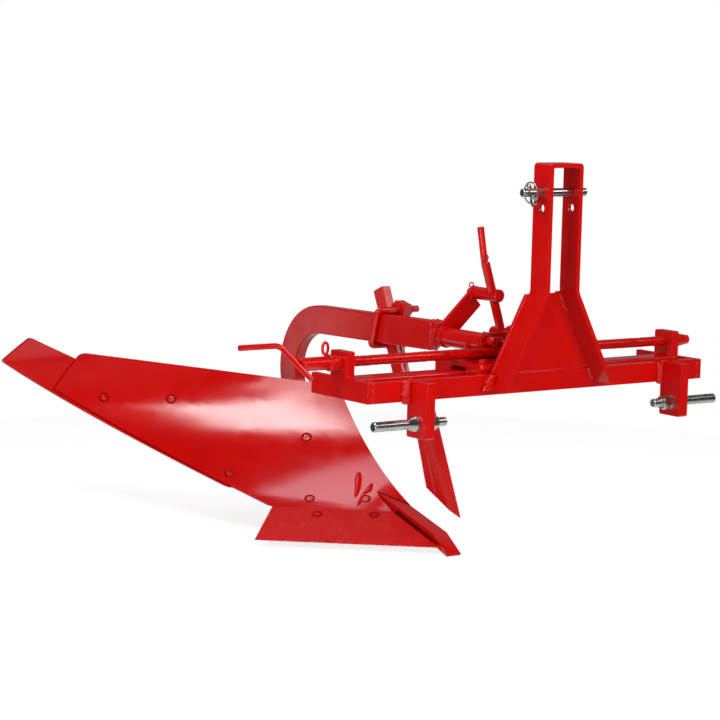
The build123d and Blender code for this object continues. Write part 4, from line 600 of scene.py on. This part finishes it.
LEVER_EYE_X, LEVER_EYE_Z = 13.5, 242.3
LEVER_FRONT, LEVER_BACK = 302.5, 312.5
welds("lever_welds", "plough_beam", [
    (circle((LEVER_EYE_X, LEVER_FRONT, LEVER_EYE_Z), REARWARD, 15.6, steps=14, start=215, sweep=110),
     3.6, FORWARD),
    (circle((LEVER_EYE_X, LEVER_BACK, LEVER_EYE_Z), REARWARD, 13.0, steps=18), 2.2, REARWARD),
])

SCREW_Y, SCREW_Z = 142.0, 123.5
SLEEVE_INNER, SLEEVE_OUTER = -521.8, -597.5


def on_screw(x):
    """A point on the axis of the lateral screw."""
    return (x, SCREW_Y, SCREW_Z)


welds("crank_welds", "lateral_screw", [
    (circle(on_screw(SLEEVE_INNER), LANDWARD, 15.8), 3.6, ("hub", on_screw(SLEEVE_INNER))),
    (circle(on_screw(SLEEVE_OUTER), LANDWARD, 10.0, steps=30), 4.2, (-1, 0, 0)),
    ([(-600, 132, 130), (-596, 128, 127), (-590, 126.6, 124)], 3.6, (-0.3, -1, 0.3)),
])


# Ring cotter of the crank sleeve: an oval loop on a straight stem

COTTER_X = -532.8


def wire_loop(centre, half_wide, half_high, wire):
    """A closed upright loop of round wire that faces along the furrow."""
    wide, high = Vector((1, 0, 0)), Vector((0, 0, 1))
    off = wide.cross(high)
    rings = []
    for t in turns(48):
        out = (wide * (half_high * math.cos(t)) + high * (half_wide * math.sin(t))).normalized()
        here = Vector(centre) + wide * (half_wide * math.cos(t)) + high * (half_high * math.sin(t))
        rings.append([here + out * (wire / 2 * math.cos(a)) + off * (wire / 2 * math.sin(a))
                      for a in turns(12)])
    return swept(rings, closed=True)


cotter = built("oval_crank_cotter", *joined([
    wire_loop((COTTER_X, SCREW_Y, 155.5), half_wide=7.4, half_high=13.0, wire=6.4),
    turned((COTTER_X, SCREW_Y, 109.0), UPWARD,
           [(0, 2.0), (1, 2.9), (30, 2.9), (33, 3.6), (35, 2.0)], sides=20),
]), "lateral_screw", enamel)
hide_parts("crank_cotter")


# Threads under paint

THREAD_SIDES = 18
CREST, LUMPS = 0.45, 0.55


def painted_thread(start, end, radius, pitch, depth, seed):
    """Helical crests that paint floods unevenly, so that they break up into lumps and pits."""
    chance = Random(seed)
    axis = Vector(end) - Vector(start)
    length = axis.length
    axis.normalize()
    across, over = square_to(axis)
    rings = []
    steps = int(length / pitch * 2)
    for i in range(steps + 1):
        s = length * i / steps
        proud = depth * min(1.0, s / pitch, (length - s) / pitch)
        loop = []
        for turn in turns(THREAD_SIDES):
            crest = CREST * math.cos(FULL_TURN * s / pitch - turn) + chance.uniform(-LUMPS, LUMPS)
            loop.append(Vector(start) + axis * s + spoke(across, over, turn) * (radius + proud * crest))
        rings.append(loop)
    return swept(rings)


THREAD_END = 472
built("lateral_thread", *painted_thread(
    on_screw(-THREAD_END), on_screw(THREAD_END), radius=11.2, pitch=5.0, depth=1.3, seed=3),
    "lateral_screw", thread_enamel)

TILT_Y = 239.0
TILT_FOOT, TILT_HEAD = Vector((43.7, TILT_Y, 151.1)), Vector((LEVER_EYE_X, TILT_Y, LEVER_EYE_Z))
TILT_THREAD_FROM, TILT_THREAD_TO = 24, 160
tilt_way = (TILT_HEAD - TILT_FOOT).normalized()
built("tilt_thread", *painted_thread(
    TILT_FOOT + tilt_way * TILT_THREAD_FROM, TILT_FOOT + tilt_way * TILT_THREAD_TO,
    radius=10.52, pitch=4.0, depth=0.3, seed=5), "tilt_screw", enamel)


# Front end of the pivot: the tube's lip, the retaining screw and the end of the shaft

TUBE_FRONT = 163


def hex_head(centre, way, across_flats, height):
    """The six-sided head of a screw, with its outer edge broken."""
    radius = across_flats / math.sqrt(3)
    return turned(centre, way, [(-0.5, radius), (height - 1.2, radius), (height, radius - 1.8)], sides=6)


mouth = built("pivot_mouth", *turned(on_pivot(TUBE_FRONT), FORWARD, [
    (0.2, 20.0), (4.6, 20.4), (5.3, 19.8), (5.3, 17.2), (4.6, 16.6), (0.6, 16.4), (0.5, 2.0),
]), "plough_beam", enamel)
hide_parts("pivot_retainer")
built("pivot_shaft_end", *turned((PIVOT_X, TUBE_FRONT, PIVOT_Z + 6.0), FORWARD, [
    (0.0, 11.0), (34.0, 11.0), (35.6, 9.6), (35.6, 7.4), (34.2, 6.6), (34.0, 1.0),
]), "plough_beam", enamel)
built("retainer_screw", *hex_head((-77.5, 162.4, 139.0), FORWARD, across_flats=13.0, height=8.0),
      "plough_beam", forged_enamel, smooth=False)


# Nuts of the lower link pins, with the chamfer that a nut has at both ends

NUT_CHAMFER = 1.8
NUT_POINTS = 48


def hex_nut(centre, way, across_flats, thick):
    """A six-sided nut whose corners are turned off at both ends."""
    axis = Vector(way).normalized()
    across, over = square_to(axis)
    flat = across_flats / 2
    corner, bevel = flat * 1.155, flat * 1.02
    profile = ((0.0, flat), (0.0, bevel), (NUT_CHAMFER, corner),
               (thick - NUT_CHAMFER, corner), (thick, bevel), (thick, flat * 0.8))
    rings = []
    for reach, limit in profile:
        loop = []
        for turn in turns(NUT_POINTS):
            off = (turn + math.pi / 6) % (FULL_TURN / 6) - math.pi / 6
            radius = min(limit, flat / math.cos(off))
            loop.append(Vector(centre) + axis * reach + spoke(across, over, turn) * radius)
        rings.append(loop)
    return swept(rings)


PIN_NUT_X = 360.5
pin_nuts = built("lower_pin_hex_nuts", *joined([
    hex_nut((side * PIN_NUT_X, 0, 0), (-side, 0, 0), across_flats=30.0, thick=25.0)
    for side in BOTH_SIDES]), "headstock", zinc, "zinc_plate", smooth=False)
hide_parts("lower_pin_nuts")

# Lower link pins: stepped collars over the plain tapers and dull sawn ends
COLLAR_PROFILE = [(0, 15.0), (0, 17.2), (0.8, 17.6), (6.2, 17.6), (7.2, 17.0), (18.5, 13.6),
                  (19.5, 13.2), (20.0, 11.0)]
SAWN_PROFILE = [(0, 8.6), (0.3, 8.5), (0.3, 6.6), (0.1, 6.3), (0.1, 4.2), (0.3, 3.9), (0.3, 0.4)]
COLLAR_X, SAWN_X = 388.6, 505.4
built("pin_collars", *joined([
    turned((side * COLLAR_X, 0, 0), (side, 0, 0), COLLAR_PROFILE, 64) for side in BOTH_SIDES]),
    "headstock", zinc, "zinc_plate", crease=25)
built("pin_sawn_ends", *joined([
    turned((side * SAWN_X, 0, 0), (side, 0, 0), SAWN_PROFILE, 40) for side in BOTH_SIDES]),
    "headstock", sawn_zinc, "zinc_plate", crease=25)

# Land end of the lateral screw: a long nut drawn out to a cone
CONE_PROFILE = [(0, 13.0), (0.5, 16.8), (3, 17.0), (26, 12.8), (33, 11.6), (34, 10.8)]
cone_nut = built("screw_cone_nut", *joined([
    hex_nut(on_screw(495.4), LANDWARD, across_flats=32.0, thick=15.0),
    turned(on_screw(509.0), LANDWARD, CONE_PROFILE),
]), "lateral_screw", enamel, crease=32)
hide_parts("screw_end_nut")


# Plough bolts: heads with a ring of painted shade round them and the marks of the forging die

BOLT_JOIN = 0.001
HEAD_DEPTH, HEAD_FACING = 3, 0.9


def separate_bolts(shape):
    """The faces of each bolt in a mesh of several, in the order of the mesh."""
    # A dict keeps the faces in their order, so that the bolts come in the same order in each run
    left = dict.fromkeys(shape.faces)
    while left:
        waiting, bolt = [next(iter(left))], []
        del left[waiting[0]]
        while waiting:
            face = waiting.pop()
            bolt.append(face)
            for border in face.edges:
                for other in border.link_faces:
                    if other in left:
                        del left[other]
                        waiting.append(other)
        yield bolt


def bolt_faces(node):
    """Centre and outward normal of the flat head of each bolt in a node."""
    shape = bmesh.new()
    shape.from_mesh(nodes[node].data)
    bmesh.ops.remove_doubles(shape, verts=shape.verts, dist=BOLT_JOIN * MM)
    found = []
    for bolt in separate_bolts(shape):
        flats = {}
        for face in bolt:
            flats.setdefault(tuple(round(c, 2) for c in face.normal), []).append(face)
        largest = max(flats.values(), key=lambda some: sum(f.calc_area() for f in some))
        axis = largest[0].normal.copy()
        front = max(f.calc_center_median().dot(axis) for f in bolt) - HEAD_DEPTH * MM
        head = [f for f in bolt
                if f.normal.dot(axis) > HEAD_FACING and f.calc_center_median().dot(axis) > front]
        area = sum(f.calc_area() for f in head)
        centre = sum((f.calc_center_median() * f.calc_area() for f in head), Vector()) / area
        facing = sum((f.normal * f.calc_area() for f in head), Vector()).normalized()
        found.append((centre / MM, facing))
    shape.free()
    return found


# Shares of the head's radius: the rings that it is drawn with, and the arms of the struck cross
HEAD_REACHES = (1.0, 0.97, 0.9, 0.78, 0.64, 0.5, 0.36, 0.22, 0.1)
CROSS_HALF, CROSS_REACH = 0.11, 0.7
HEAD_CROWN, HEAD_FALL, HEAD_FOOT, CROSS_DEEP = 0.3, 0.25, -0.3, 0.5


def head_marks(centre, normal, radius, spin):
    """The painted top of a plough bolt: almost flat, with a cross struck in it."""
    across, over = square_to(normal)
    rings = []
    for reach in HEAD_REACHES:
        loop = []
        for turn in turns(48):
            x, y = reach * math.cos(turn + spin), reach * math.sin(turn + spin)
            cross = 0.0
            if reach < CROSS_REACH:
                cross = max(math.exp(-(x / CROSS_HALF) ** 2), math.exp(-(y / CROSS_HALF) ** 2))
            rise = HEAD_CROWN - HEAD_FALL * reach ** 2 - CROSS_DEEP * cross * (1 - reach)
            if reach == 1.0:
                rise = HEAD_FOOT
            loop.append(centre + spoke(across, over, turn) * (radius * reach) + normal * rise)
        rings.append(loop)
    return swept(rings)


# Across the ring of painted shade: the radius of each corner and its height over the face
GAP_SHADE_SECTION = ((8.2, -0.4), (8.2, 0.5), (12.8, 0.5), (12.8, -0.6))


def head_gap_shade(centre, normal):
    """A ring of painted shade round a plough bolt's head, dark for the shadow in the crevice there; it
    lies over the rim of the head's marks."""
    across, over = square_to(normal)
    rings = [[centre + spoke(across, over, t) * radius + normal * rise for t in turns(64)]
             for radius, rise in GAP_SHADE_SECTION]
    return swept(rings, closed=True)


HEAD_RADIUS = 11.1
FIRST_SPIN, NEXT_SPIN = 0.5, 0.7
bolt_spots = bolt_faces("plough_bolts")
built("plough_bolt_marks", *joined([
    head_marks(spot, facing, HEAD_RADIUS, FIRST_SPIN + NEXT_SPIN * i)
    for i, (spot, facing) in enumerate(bolt_spots)]), "plough_beam", head_enamel)
built("plough_bolt_gap_shade", *joined([head_gap_shade(spot, facing) for spot, facing in bolt_spots]),
      "plough_beam", rim_shade_enamel, crease=30)


# Cutting edge of the share: a ragged line of paint on the edge and grit caught in the film behind it

EDGE_FOOT, EDGE_WING = Vector((-88.0, 254.0, -348.4)), Vector((-427.0, 556.1, -348.4))
SHARE_FACE = Vector((-0.26, -0.29, 0.92)).normalized()
NIB_SEAT = 0.3
# How far behind the edge the grit begins and reaches, and how closely it crowds to the edge
GRIT_FROM, GRIT_REACH, GRIT_CROWDING = 3.0, 34.0, 2.2


def share_grit(count, seed):
    """Nibs of grit under the paint, thickest next to the cutting edge."""
    chance = Random(seed)
    along_edge = (EDGE_WING - EDGE_FOOT).normalized()
    up_slope = SHARE_FACE.cross(along_edge)
    up_slope = up_slope if up_slope.z > 0 else -up_slope
    nibs = []
    for _ in range(count):
        back = GRIT_FROM + GRIT_REACH * chance.random() ** GRIT_CROWDING
        spot = EDGE_FOOT.lerp(EDGE_WING, chance.uniform(0.03, 0.98)) + up_slope * back
        wide, high = chance.uniform(0.9, 2.0), chance.uniform(0.5, 1.0)
        nibs.append(turned(spot - SHARE_FACE * NIB_SEAT, SHARE_FACE, [
            (0, wide), (NIB_SEAT + 0.45 * high, 0.85 * wide), (NIB_SEAT + 0.8 * high, 0.5 * wide),
            (NIB_SEAT + high, 0.12 * wide)], sides=9))
    return nibs


edge_line = [EDGE_FOOT.lerp(EDGE_WING, 0.02), EDGE_FOOT.lerp(EDGE_WING, 0.995)]
built("share_edge_paint", *joined(
    share_grit(count=150, seed=12) + [weld_bead(edge_line, 1.7, (-0.6, -0.65, 0.35), seed=9)]),
    "plough_beam", weld_enamel)


# Painted shade round the bar point: dark strips in the slot beside it on the share, low on its side, and
# along the cut-out of the board over it

SHADE_STRIP_FOOT = 0.5


def shade_strip(places, facing, widths, proud=0.4):
    """A narrow dark strip of painted shade that lies on a face along a line of places."""
    stops, facing, rings = [Vector(p) for p in places], Vector(facing).normalized(), []
    for i, (stop, wide) in enumerate(zip(stops, widths)):
        way = (stops[min(i + 1, len(stops) - 1)] - stops[max(i - 1, 0)]).normalized()
        side = way.cross(facing).normalized() * (wide / 2)
        rings.append([stop - side - facing * SHADE_STRIP_FOOT, stop - side + facing * proud,
                      stop + side + facing * proud, stop + side - facing * SHADE_STRIP_FOOT])
    return swept(rings)


def share_height(x, y):
    """Height of the share's upper face."""
    rise = SHARE_FACE.x * (x - EDGE_FOOT.x) + SHARE_FACE.y * (y - EDGE_FOOT.y)
    return EDGE_FOOT.z - rise / SHARE_FACE.z


SLOT_X, BAR_SIDE_X = -102, -98
SLOT_Y = (438, 400, 350, 300, 274)
CUT_OUT_SIDE = [(-98.6, 514.0, -260.6), (-99.6, 506.5, -264.4), (-99.8, 491.8, -271.8),
                (-100.2, 474.9, -280.0), (-101, 457.6, -288.0), (-101.9, 446.1, -293.3)]
CUT_OUT_TOP = [(-96.4, 518.6, -256.4), (-94.6, 516.9, -256.6), (-87.4, 500.2, -261.9),
               (-79.3, 482.6, -267.1), (-70.8, 465.7, -271.9), (-64.5, 449.9, -276.6),
               (-60.5, 439.2, -279.6)]
built("bar_point_shade_strips", *joined([
    shade_strip([(SLOT_X, y, share_height(SLOT_X, y)) for y in SLOT_Y], SHARE_FACE, (9, 8, 6, 4, 2)),
    shade_strip([(BAR_SIDE_X, y, share_height(BAR_SIDE_X, y) + 3) for y in SLOT_Y], (-1, 0, 0),
         (7, 7, 6, 5, 3), 0.3),
    shade_strip(CUT_OUT_SIDE, (-0.37, -0.41, 0.83), (1.0, 2.4, 3.0, 3.4, 3.8, 4.0)),
    shade_strip(CUT_OUT_TOP, (-0.3, -0.4, 0.86), (1.0, 2.0, 2.6, 3.0, 3.2, 3.2, 2.0), 0.7),
]), "plough_beam", crevice_shade_enamel)


# Runs in the paint at the foot of the board

# Across a run, as shares of its half width and of its height
RUN_SECTION = ((1.0, 0.0), (0.9, 0.3), (0.74, 0.68), (0.56, 0.93), (0.36, 1.0), (0.0, 0.72),
               (-0.4, 0.36), (-0.8, 0.1), (-1.0, 0.0))
RUN_THICK, RUN_FULL_HALF = 2.3, 3.0
RUN_FOOT = [(-1.0, -0.4), (1.0, -0.4)]
RUN_STEPS = 8


def paint_run(stops, halves):
    """A run that sagged down the board and ended in a drop: thick along its left side, thinning out
    to the right."""
    board = nodes["mouldboard"]
    seats = [board.closest_point_on_mesh(Vector(p) * MM)[1:3] for p in stops]
    spans = list(zip(seats, seats[1:], halves, halves[1:]))
    rings = []
    for number, ((spot, facing), (next_spot, next_facing), half, next_half) in enumerate(spans, 1):
        for step in range(RUN_STEPS if number < len(spans) else RUN_STEPS + 1):
            t = step / RUN_STEPS
            here = spot.lerp(next_spot, t) / MM
            normal = facing.lerp(next_facing, t).normalized()
            side = (next_spot - spot).normalized().cross(normal)
            wide = half + (next_half - half) * t
            high = RUN_THICK * min(1.0, wide / RUN_FULL_HALF)
            section = [(share, high * rise) for share, rise in RUN_SECTION] + RUN_FOOT
            rings.append([here + side * (wide * share) + normal * rise for share, rise in section])
    return swept(rings)


built("paint_runs", *joined([
    paint_run([(-103, 588, -219), (-104.3, 585.7, -221), (-113.6, 573.8, -235.5), (-126.1, 557.7, -251.6),
               (-143, 543, -266), (-149, 538.5, -271)], [0.4, 5.5, 9.5, 7.5, 4.8, 0.5]),
    paint_run([(-95, 546, -240), (-96.2, 543.7, -242.3), (-112.3, 533.6, -256.5), (-128, 531, -266.5),
               (-143, 524, -276), (-154, 516, -283.6), (-156, 514.6, -285)],
              [0.4, 4.8, 8.4, 6.8, 4.4, 5.2, 0.5]),
]), "plough_beam", board_enamel, crease=50)


# Coulter: a knife with uneven ridges under a square shank

LEAN = math.radians(24)
SHANK_Y, SHANK_Z = 562.0, 136.0
FURROW_FACE, BLADE_LAND_FACE, SHANK_LAND_FACE = -51.7, -41.7, -27.2


def on_coulter(x, ahead, down):
    """A point of the coulter by its place across, ahead of the shank's middle line and down along it."""
    return (x, SHANK_Y - ahead * math.cos(LEAN) - down * math.sin(LEAN),
            SHANK_Z + ahead * math.sin(LEAN) - down * math.cos(LEAN))


# Bead that joins the shank to the blade, on the land side of the blade
welds("coulter_welds", "coulter", [
    ([on_coulter(-40, 23.4, 42), on_coulter(-40, 23.4, 118)], 3.0, (0, -math.cos(LEAN), math.sin(LEAN))),
])


def along(corners, share):
    """A place on a line of corners, by its share of the line's length."""
    spans = [math.dist(a, b) for a, b in zip(corners, corners[1:])]
    left = share * sum(spans)
    for a, b, span in zip(corners, corners[1:], spans):
        if left <= span + 1e-9:
            return tuple(p + (q - p) * left / span for p, q in zip(a, b))
        left -= span
    return corners[-1]


# The blade's outline, ahead of the shank's middle line and down along it
BLADE_BACK = [(6, 150), (23.6, 266), (12, 406)]
BLADE_FRONT = [(62, 166), (97, 206), (101, 240), (101, 505)]
BLADE_STEPS, BLADE_RIDGES = 40, 12
GROUND_WIDE, GROUND_DEEP = 34.0, 8.0


def coulter_knife():
    """The blade: a drawn bar with faint lengthwise ridges, ground on the furrow side to a thin front
    edge."""
    chance = Random(8)
    ridges = [max(0.0, chance.uniform(-0.5, 0.9)) for _ in range(BLADE_RIDGES)]
    reliefs = [0.0] + ridges[1:] + [0.0, GROUND_DEEP]
    rings = []
    for i in range(BLADE_STEPS + 1):
        rear, edge = along(BLADE_BACK, i / BLADE_STEPS), along(BLADE_FRONT, i / BLADE_STEPS)
        ground = 1 - GROUND_WIDE / math.dist(rear, edge)
        shares = [ground * k / BLADE_RIDGES for k in range(BLADE_RIDGES)] + [ground, 1.0]
        loop = [on_coulter(FURROW_FACE + raised, *(r + (e - r) * share for r, e in zip(rear, edge)))
                for share, raised in zip(shares, reliefs)]
        loop += [on_coulter(BLADE_LAND_FACE, *edge), on_coulter(BLADE_LAND_FACE, *rear)]
        rings.append([Vector(p) for p in loop])
    return swept(rings)


# Down along the shank, its back and its front
SHANK_SECTIONS = ((-98, -14.0, 21.8), (-97, -15.9, 23.6), (100, -15.9, 23.6), (122, -15.9, 23.6),
                  (135, -12, 36), (150, 2, 49), (172, 22, 66), (186, 40, 62))
SHANK_ROUND = 1.6


def coulter_shank():
    """The square shank with slightly broken corners, drawn out forward where the blade begins."""
    furrow, land = FURROW_FACE, SHANK_LAND_FACE
    furrow_in, land_in = furrow + SHANK_ROUND, land - SHANK_ROUND
    rings = []
    for down, rear, front in SHANK_SECTIONS:
        rear_in, front_in = rear + SHANK_ROUND, front - SHANK_ROUND
        corners = ((furrow_in, rear), (furrow, rear_in), (furrow, front_in), (furrow_in, front),
                   (land_in, front), (land, front_in), (land, rear_in), (land_in, rear))
        rings.append([Vector(on_coulter(x, ahead, down)) for x, ahead in corners])
    return swept(rings)


knife = built("coulter_knife", *joined([coulter_knife(), coulter_shank()]),
              "coulter", forged_enamel, crease=28)
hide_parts("coulter")


# Camera at the photograph's angle

CAMERA_PLACE = (-3.54907, -4.04954, 0.77273)
CAMERA_YAW, CAMERA_PITCH, CAMERA_ROLL = -36.58, 7.07, 1.43
FOCAL_PX, PHOTO_PX, SENSOR = 2402.0, 720, 36.0
FAR_LIMIT = 60


def photo_camera():
    yaw, pitch, roll = (math.radians(a) for a in (CAMERA_YAW, CAMERA_PITCH, CAMERA_ROLL))
    ahead = Vector((-math.sin(yaw) * math.cos(pitch), math.cos(yaw) * math.cos(pitch), -math.sin(pitch)))
    level = ahead.cross(Vector((0, 0, 1))).normalized()
    upright = level.cross(ahead)
    right = math.cos(roll) * level + math.sin(roll) * upright
    up = math.cos(roll) * upright - math.sin(roll) * level
    turn = Matrix((right, up, -ahead)).transposed()
    data = bpy.data.cameras.new("photo_camera")
    data.sensor_width = SENSOR
    data.lens = FOCAL_PX * SENSOR / PHOTO_PX
    data.clip_end = FAR_LIMIT
    camera = placed("photo_camera", data)
    camera.matrix_world = Matrix.Translation(CAMERA_PLACE) @ turn.to_4x4()
    bpy.context.scene.camera = camera


photo_camera()


# Studio: pale floor, white backdrop, soft lamps

def softbox(name, aim, azimuth, elevation, distance, size, power, shift=(0, 0), turn=0, tint="#FFFFFF",
            mirrored=True, lighting=True):
    """A rectangular soft lamp that faces a point from an azimuth and elevation, shifted and turned in its
    own plane. One that is not mirrored stands for a wide white wall, too dim to show in the paint; one
    that gives no lighting stands for white paper, which shows in the gloss and is too weak to light
    anything."""
    a, e = math.radians(azimuth), math.radians(elevation)
    back = Vector((math.sin(a) * math.cos(e), -math.cos(a) * math.cos(e), math.sin(e)))
    right = Vector((0, 0, 1)).cross(back).normalized()
    data = bpy.data.lights.new(name, "AREA")
    data.shape = "RECTANGLE"
    data.size, data.size_y = size
    data.energy = power
    data.color = linear(tint)[:3]
    lamp = placed(name, data)
    lamp.visible_glossy = mirrored
    lamp.visible_diffuse = lighting
    lamp.location = Vector(aim) + back * distance + right * shift[0] + back.cross(right) * shift[1]
    lamp.rotation_mode = "QUATERNION"
    spin = Quaternion((0, 0, 1), math.radians(turn))
    lamp.rotation_quaternion = (-back).to_track_quat("-Z", "Y") @ spin


BOARD_MIDDLE = (-0.25, 0.85, -0.1)
BOARD_FOOT = (-0.2, 0.6, -0.25)
BEAM_NECK = (-0.08, 1.1, 0.1)
HEADSTOCK_MIDDLE = (0.0, 0.1, 0.2)
KEY_ANGLES, KEY_SHIFT = (-66, 55), (0.04, -0.02)
# The long bright streak on the board with its softer rim, and the patch over it at the board's top
softbox("key_softbox", BOARD_MIDDLE, *KEY_ANGLES, 2.6, (0.44, 0.62), 7.4, KEY_SHIFT)
softbox("key_softbox_rim", BOARD_MIDDLE, *KEY_ANGLES, 2.62, (0.62, 0.84), 7.4, KEY_SHIFT)
softbox("key_reflector", BOARD_MIDDLE, *KEY_ANGLES, 2.6, (0.42, 0.5), 3.0, (0.47, -0.5))
# The cool bright patch at the foot of the board
softbox("top_softbox", BOARD_FOOT, 165, 78, 2.2, (0.55, 1.3), 7.5, (0.03, 0.3), -18, "#EEF1FF")
# Even light on the sides and the fronts
softbox("left_fill", HEADSTOCK_MIDDLE, -88, 5, 3.5, (2.4, 2.2), 42, mirrored=False)
softbox("front_fill", HEADSTOCK_MIDDLE, -5, 13, 3.5, (3.2, 2.6), 102, mirrored=False)
# Streaks on the pins and the screw, the sheen of the beam's neck, and small glints on the linch pin and
# the rods
softbox("right_softbox", HEADSTOCK_MIDDLE, 46, 33, 3.0, (0.8, 0.5), 9)
softbox("neck_paper", BEAM_NECK, -139, -3, 1.6, (0.26, 0.9), 0.62, lighting=False)
softbox("edge_lamp", HEADSTOCK_MIDDLE, -50, 36, 3.2, (0.16, 0.22), 8)
softbox("low_strip", HEADSTOCK_MIDDLE, -54, -4, 3.0, (0.2, 0.6), 7)

FLOOR_Z = cad_box[0].z
FLOOR_MIDDLE, FLOOR_RADIUS = (-0.05, 0.6), 2.0
# Glow of the floor to the camera and in reflections, and where the second begins to fade and ends
FLOOR_SHOWN, FLOOR_MIRRORED, FADE_FROM, FADE_TO = 0.8, 0.45, 0.9, 1.9
WHITE, PAPER_GREY = linear("#FFFFFF"), linear("#B4B4B4")


def studio():
    sheet = bmesh.new()
    bmesh.ops.create_circle(sheet, cap_ends=True, segments=96, radius=FLOOR_RADIUS)
    mesh = bpy.data.meshes.new("studio_floor")
    sheet.to_mesh(mesh)
    sheet.free()
    floor = placed("studio_floor", mesh)
    floor.location = (*FLOOR_MIDDLE, FLOOR_Z - 0.5 * MM)
    # Matt white paper: bright to the camera, dimmer in reflections and fading out there towards its rim,
    # and it still takes the object's shadow
    material, tree = new_material("white_paper_floor")
    path = add(tree, "ShaderNodeLightPath")
    place = add(tree, "ShaderNodeTexCoord").outputs["Object"]
    away = add(tree, "ShaderNodeVectorMath", {0: place}, operation="LENGTH").outputs["Value"]
    near = ranged(tree, away, FADE_FROM, FADE_TO, FLOOR_MIRRORED, 0.0, "SMOOTHSTEP")
    mirrored = add(tree, "ShaderNodeMath", {0: path.outputs["Is Glossy Ray"], 1: near},
                   operation="MULTIPLY")
    strength = add(tree, "ShaderNodeMath", {
        0: path.outputs["Is Camera Ray"], 1: FLOOR_SHOWN, 2: mirrored.outputs[0]},
        operation="MULTIPLY_ADD")
    paper = add(tree, "ShaderNodeBsdfDiffuse", {"Color": PAPER_GREY})
    glow = add(tree, "ShaderNodeEmission", {"Color": WHITE, "Strength": strength.outputs[0]})
    both = add(tree, "ShaderNodeAddShader", {0: paper.outputs[0], 1: glow.outputs[0]})
    add(tree, "ShaderNodeOutputMaterial", {"Surface": both.outputs[0]})
    mesh.materials.append(material)


studio()

BEHIND_PLOUGH = (0.59, 0.80, 0.0)
# Strength in reflections of the unlit room and of the paper, and of the light from below and above
ROOM_MIRRORED, PAPER_MIRRORED = 0.03, 0.2
LIGHT_BELOW, LIGHT_ABOVE = 0.4, 0.1


def surroundings():
    """White paper all round for the camera; reflections see it behind the plough, and the unlit room
    elsewhere."""
    world = bpy.data.worlds.new("white_studio")
    bpy.context.scene.world = world
    world.use_nodes = True
    tree = world.node_tree
    tree.nodes.clear()

    def shining(strength):
        return add(tree, "ShaderNodeBackground", {"Color": WHITE, "Strength": strength}).outputs[0]

    path = add(tree, "ShaderNodeLightPath")
    way = add(tree, "ShaderNodeTexCoord").outputs["Generated"]
    backward = add(tree, "ShaderNodeVectorMath", {0: way, 1: BEHIND_PLOUGH}, operation="DOT_PRODUCT")
    paper = shining(ranged(tree, backward.outputs["Value"], 0.35, 0.8, ROOM_MIRRORED, PAPER_MIRRORED,
                           "SMOOTHSTEP"))
    height = add(tree, "ShaderNodeSeparateXYZ", {"Vector": way}).outputs["Z"]
    fill = shining(ranged(tree, height, -1.0, 1.0, LIGHT_BELOW, LIGHT_ABOVE))
    lit = add(tree, "ShaderNodeMixShader", {"Fac": path.outputs["Is Glossy Ray"], 1: fill, 2: paper})
    shown = add(tree, "ShaderNodeMixShader", {
        "Fac": path.outputs["Is Camera Ray"], 1: lit.outputs[0], 2: shining(1.0)})
    add(tree, "ShaderNodeOutputWorld", {"Surface": shown.outputs[0]})


surroundings()
bpy.context.scene.view_settings.view_transform = "Standard"
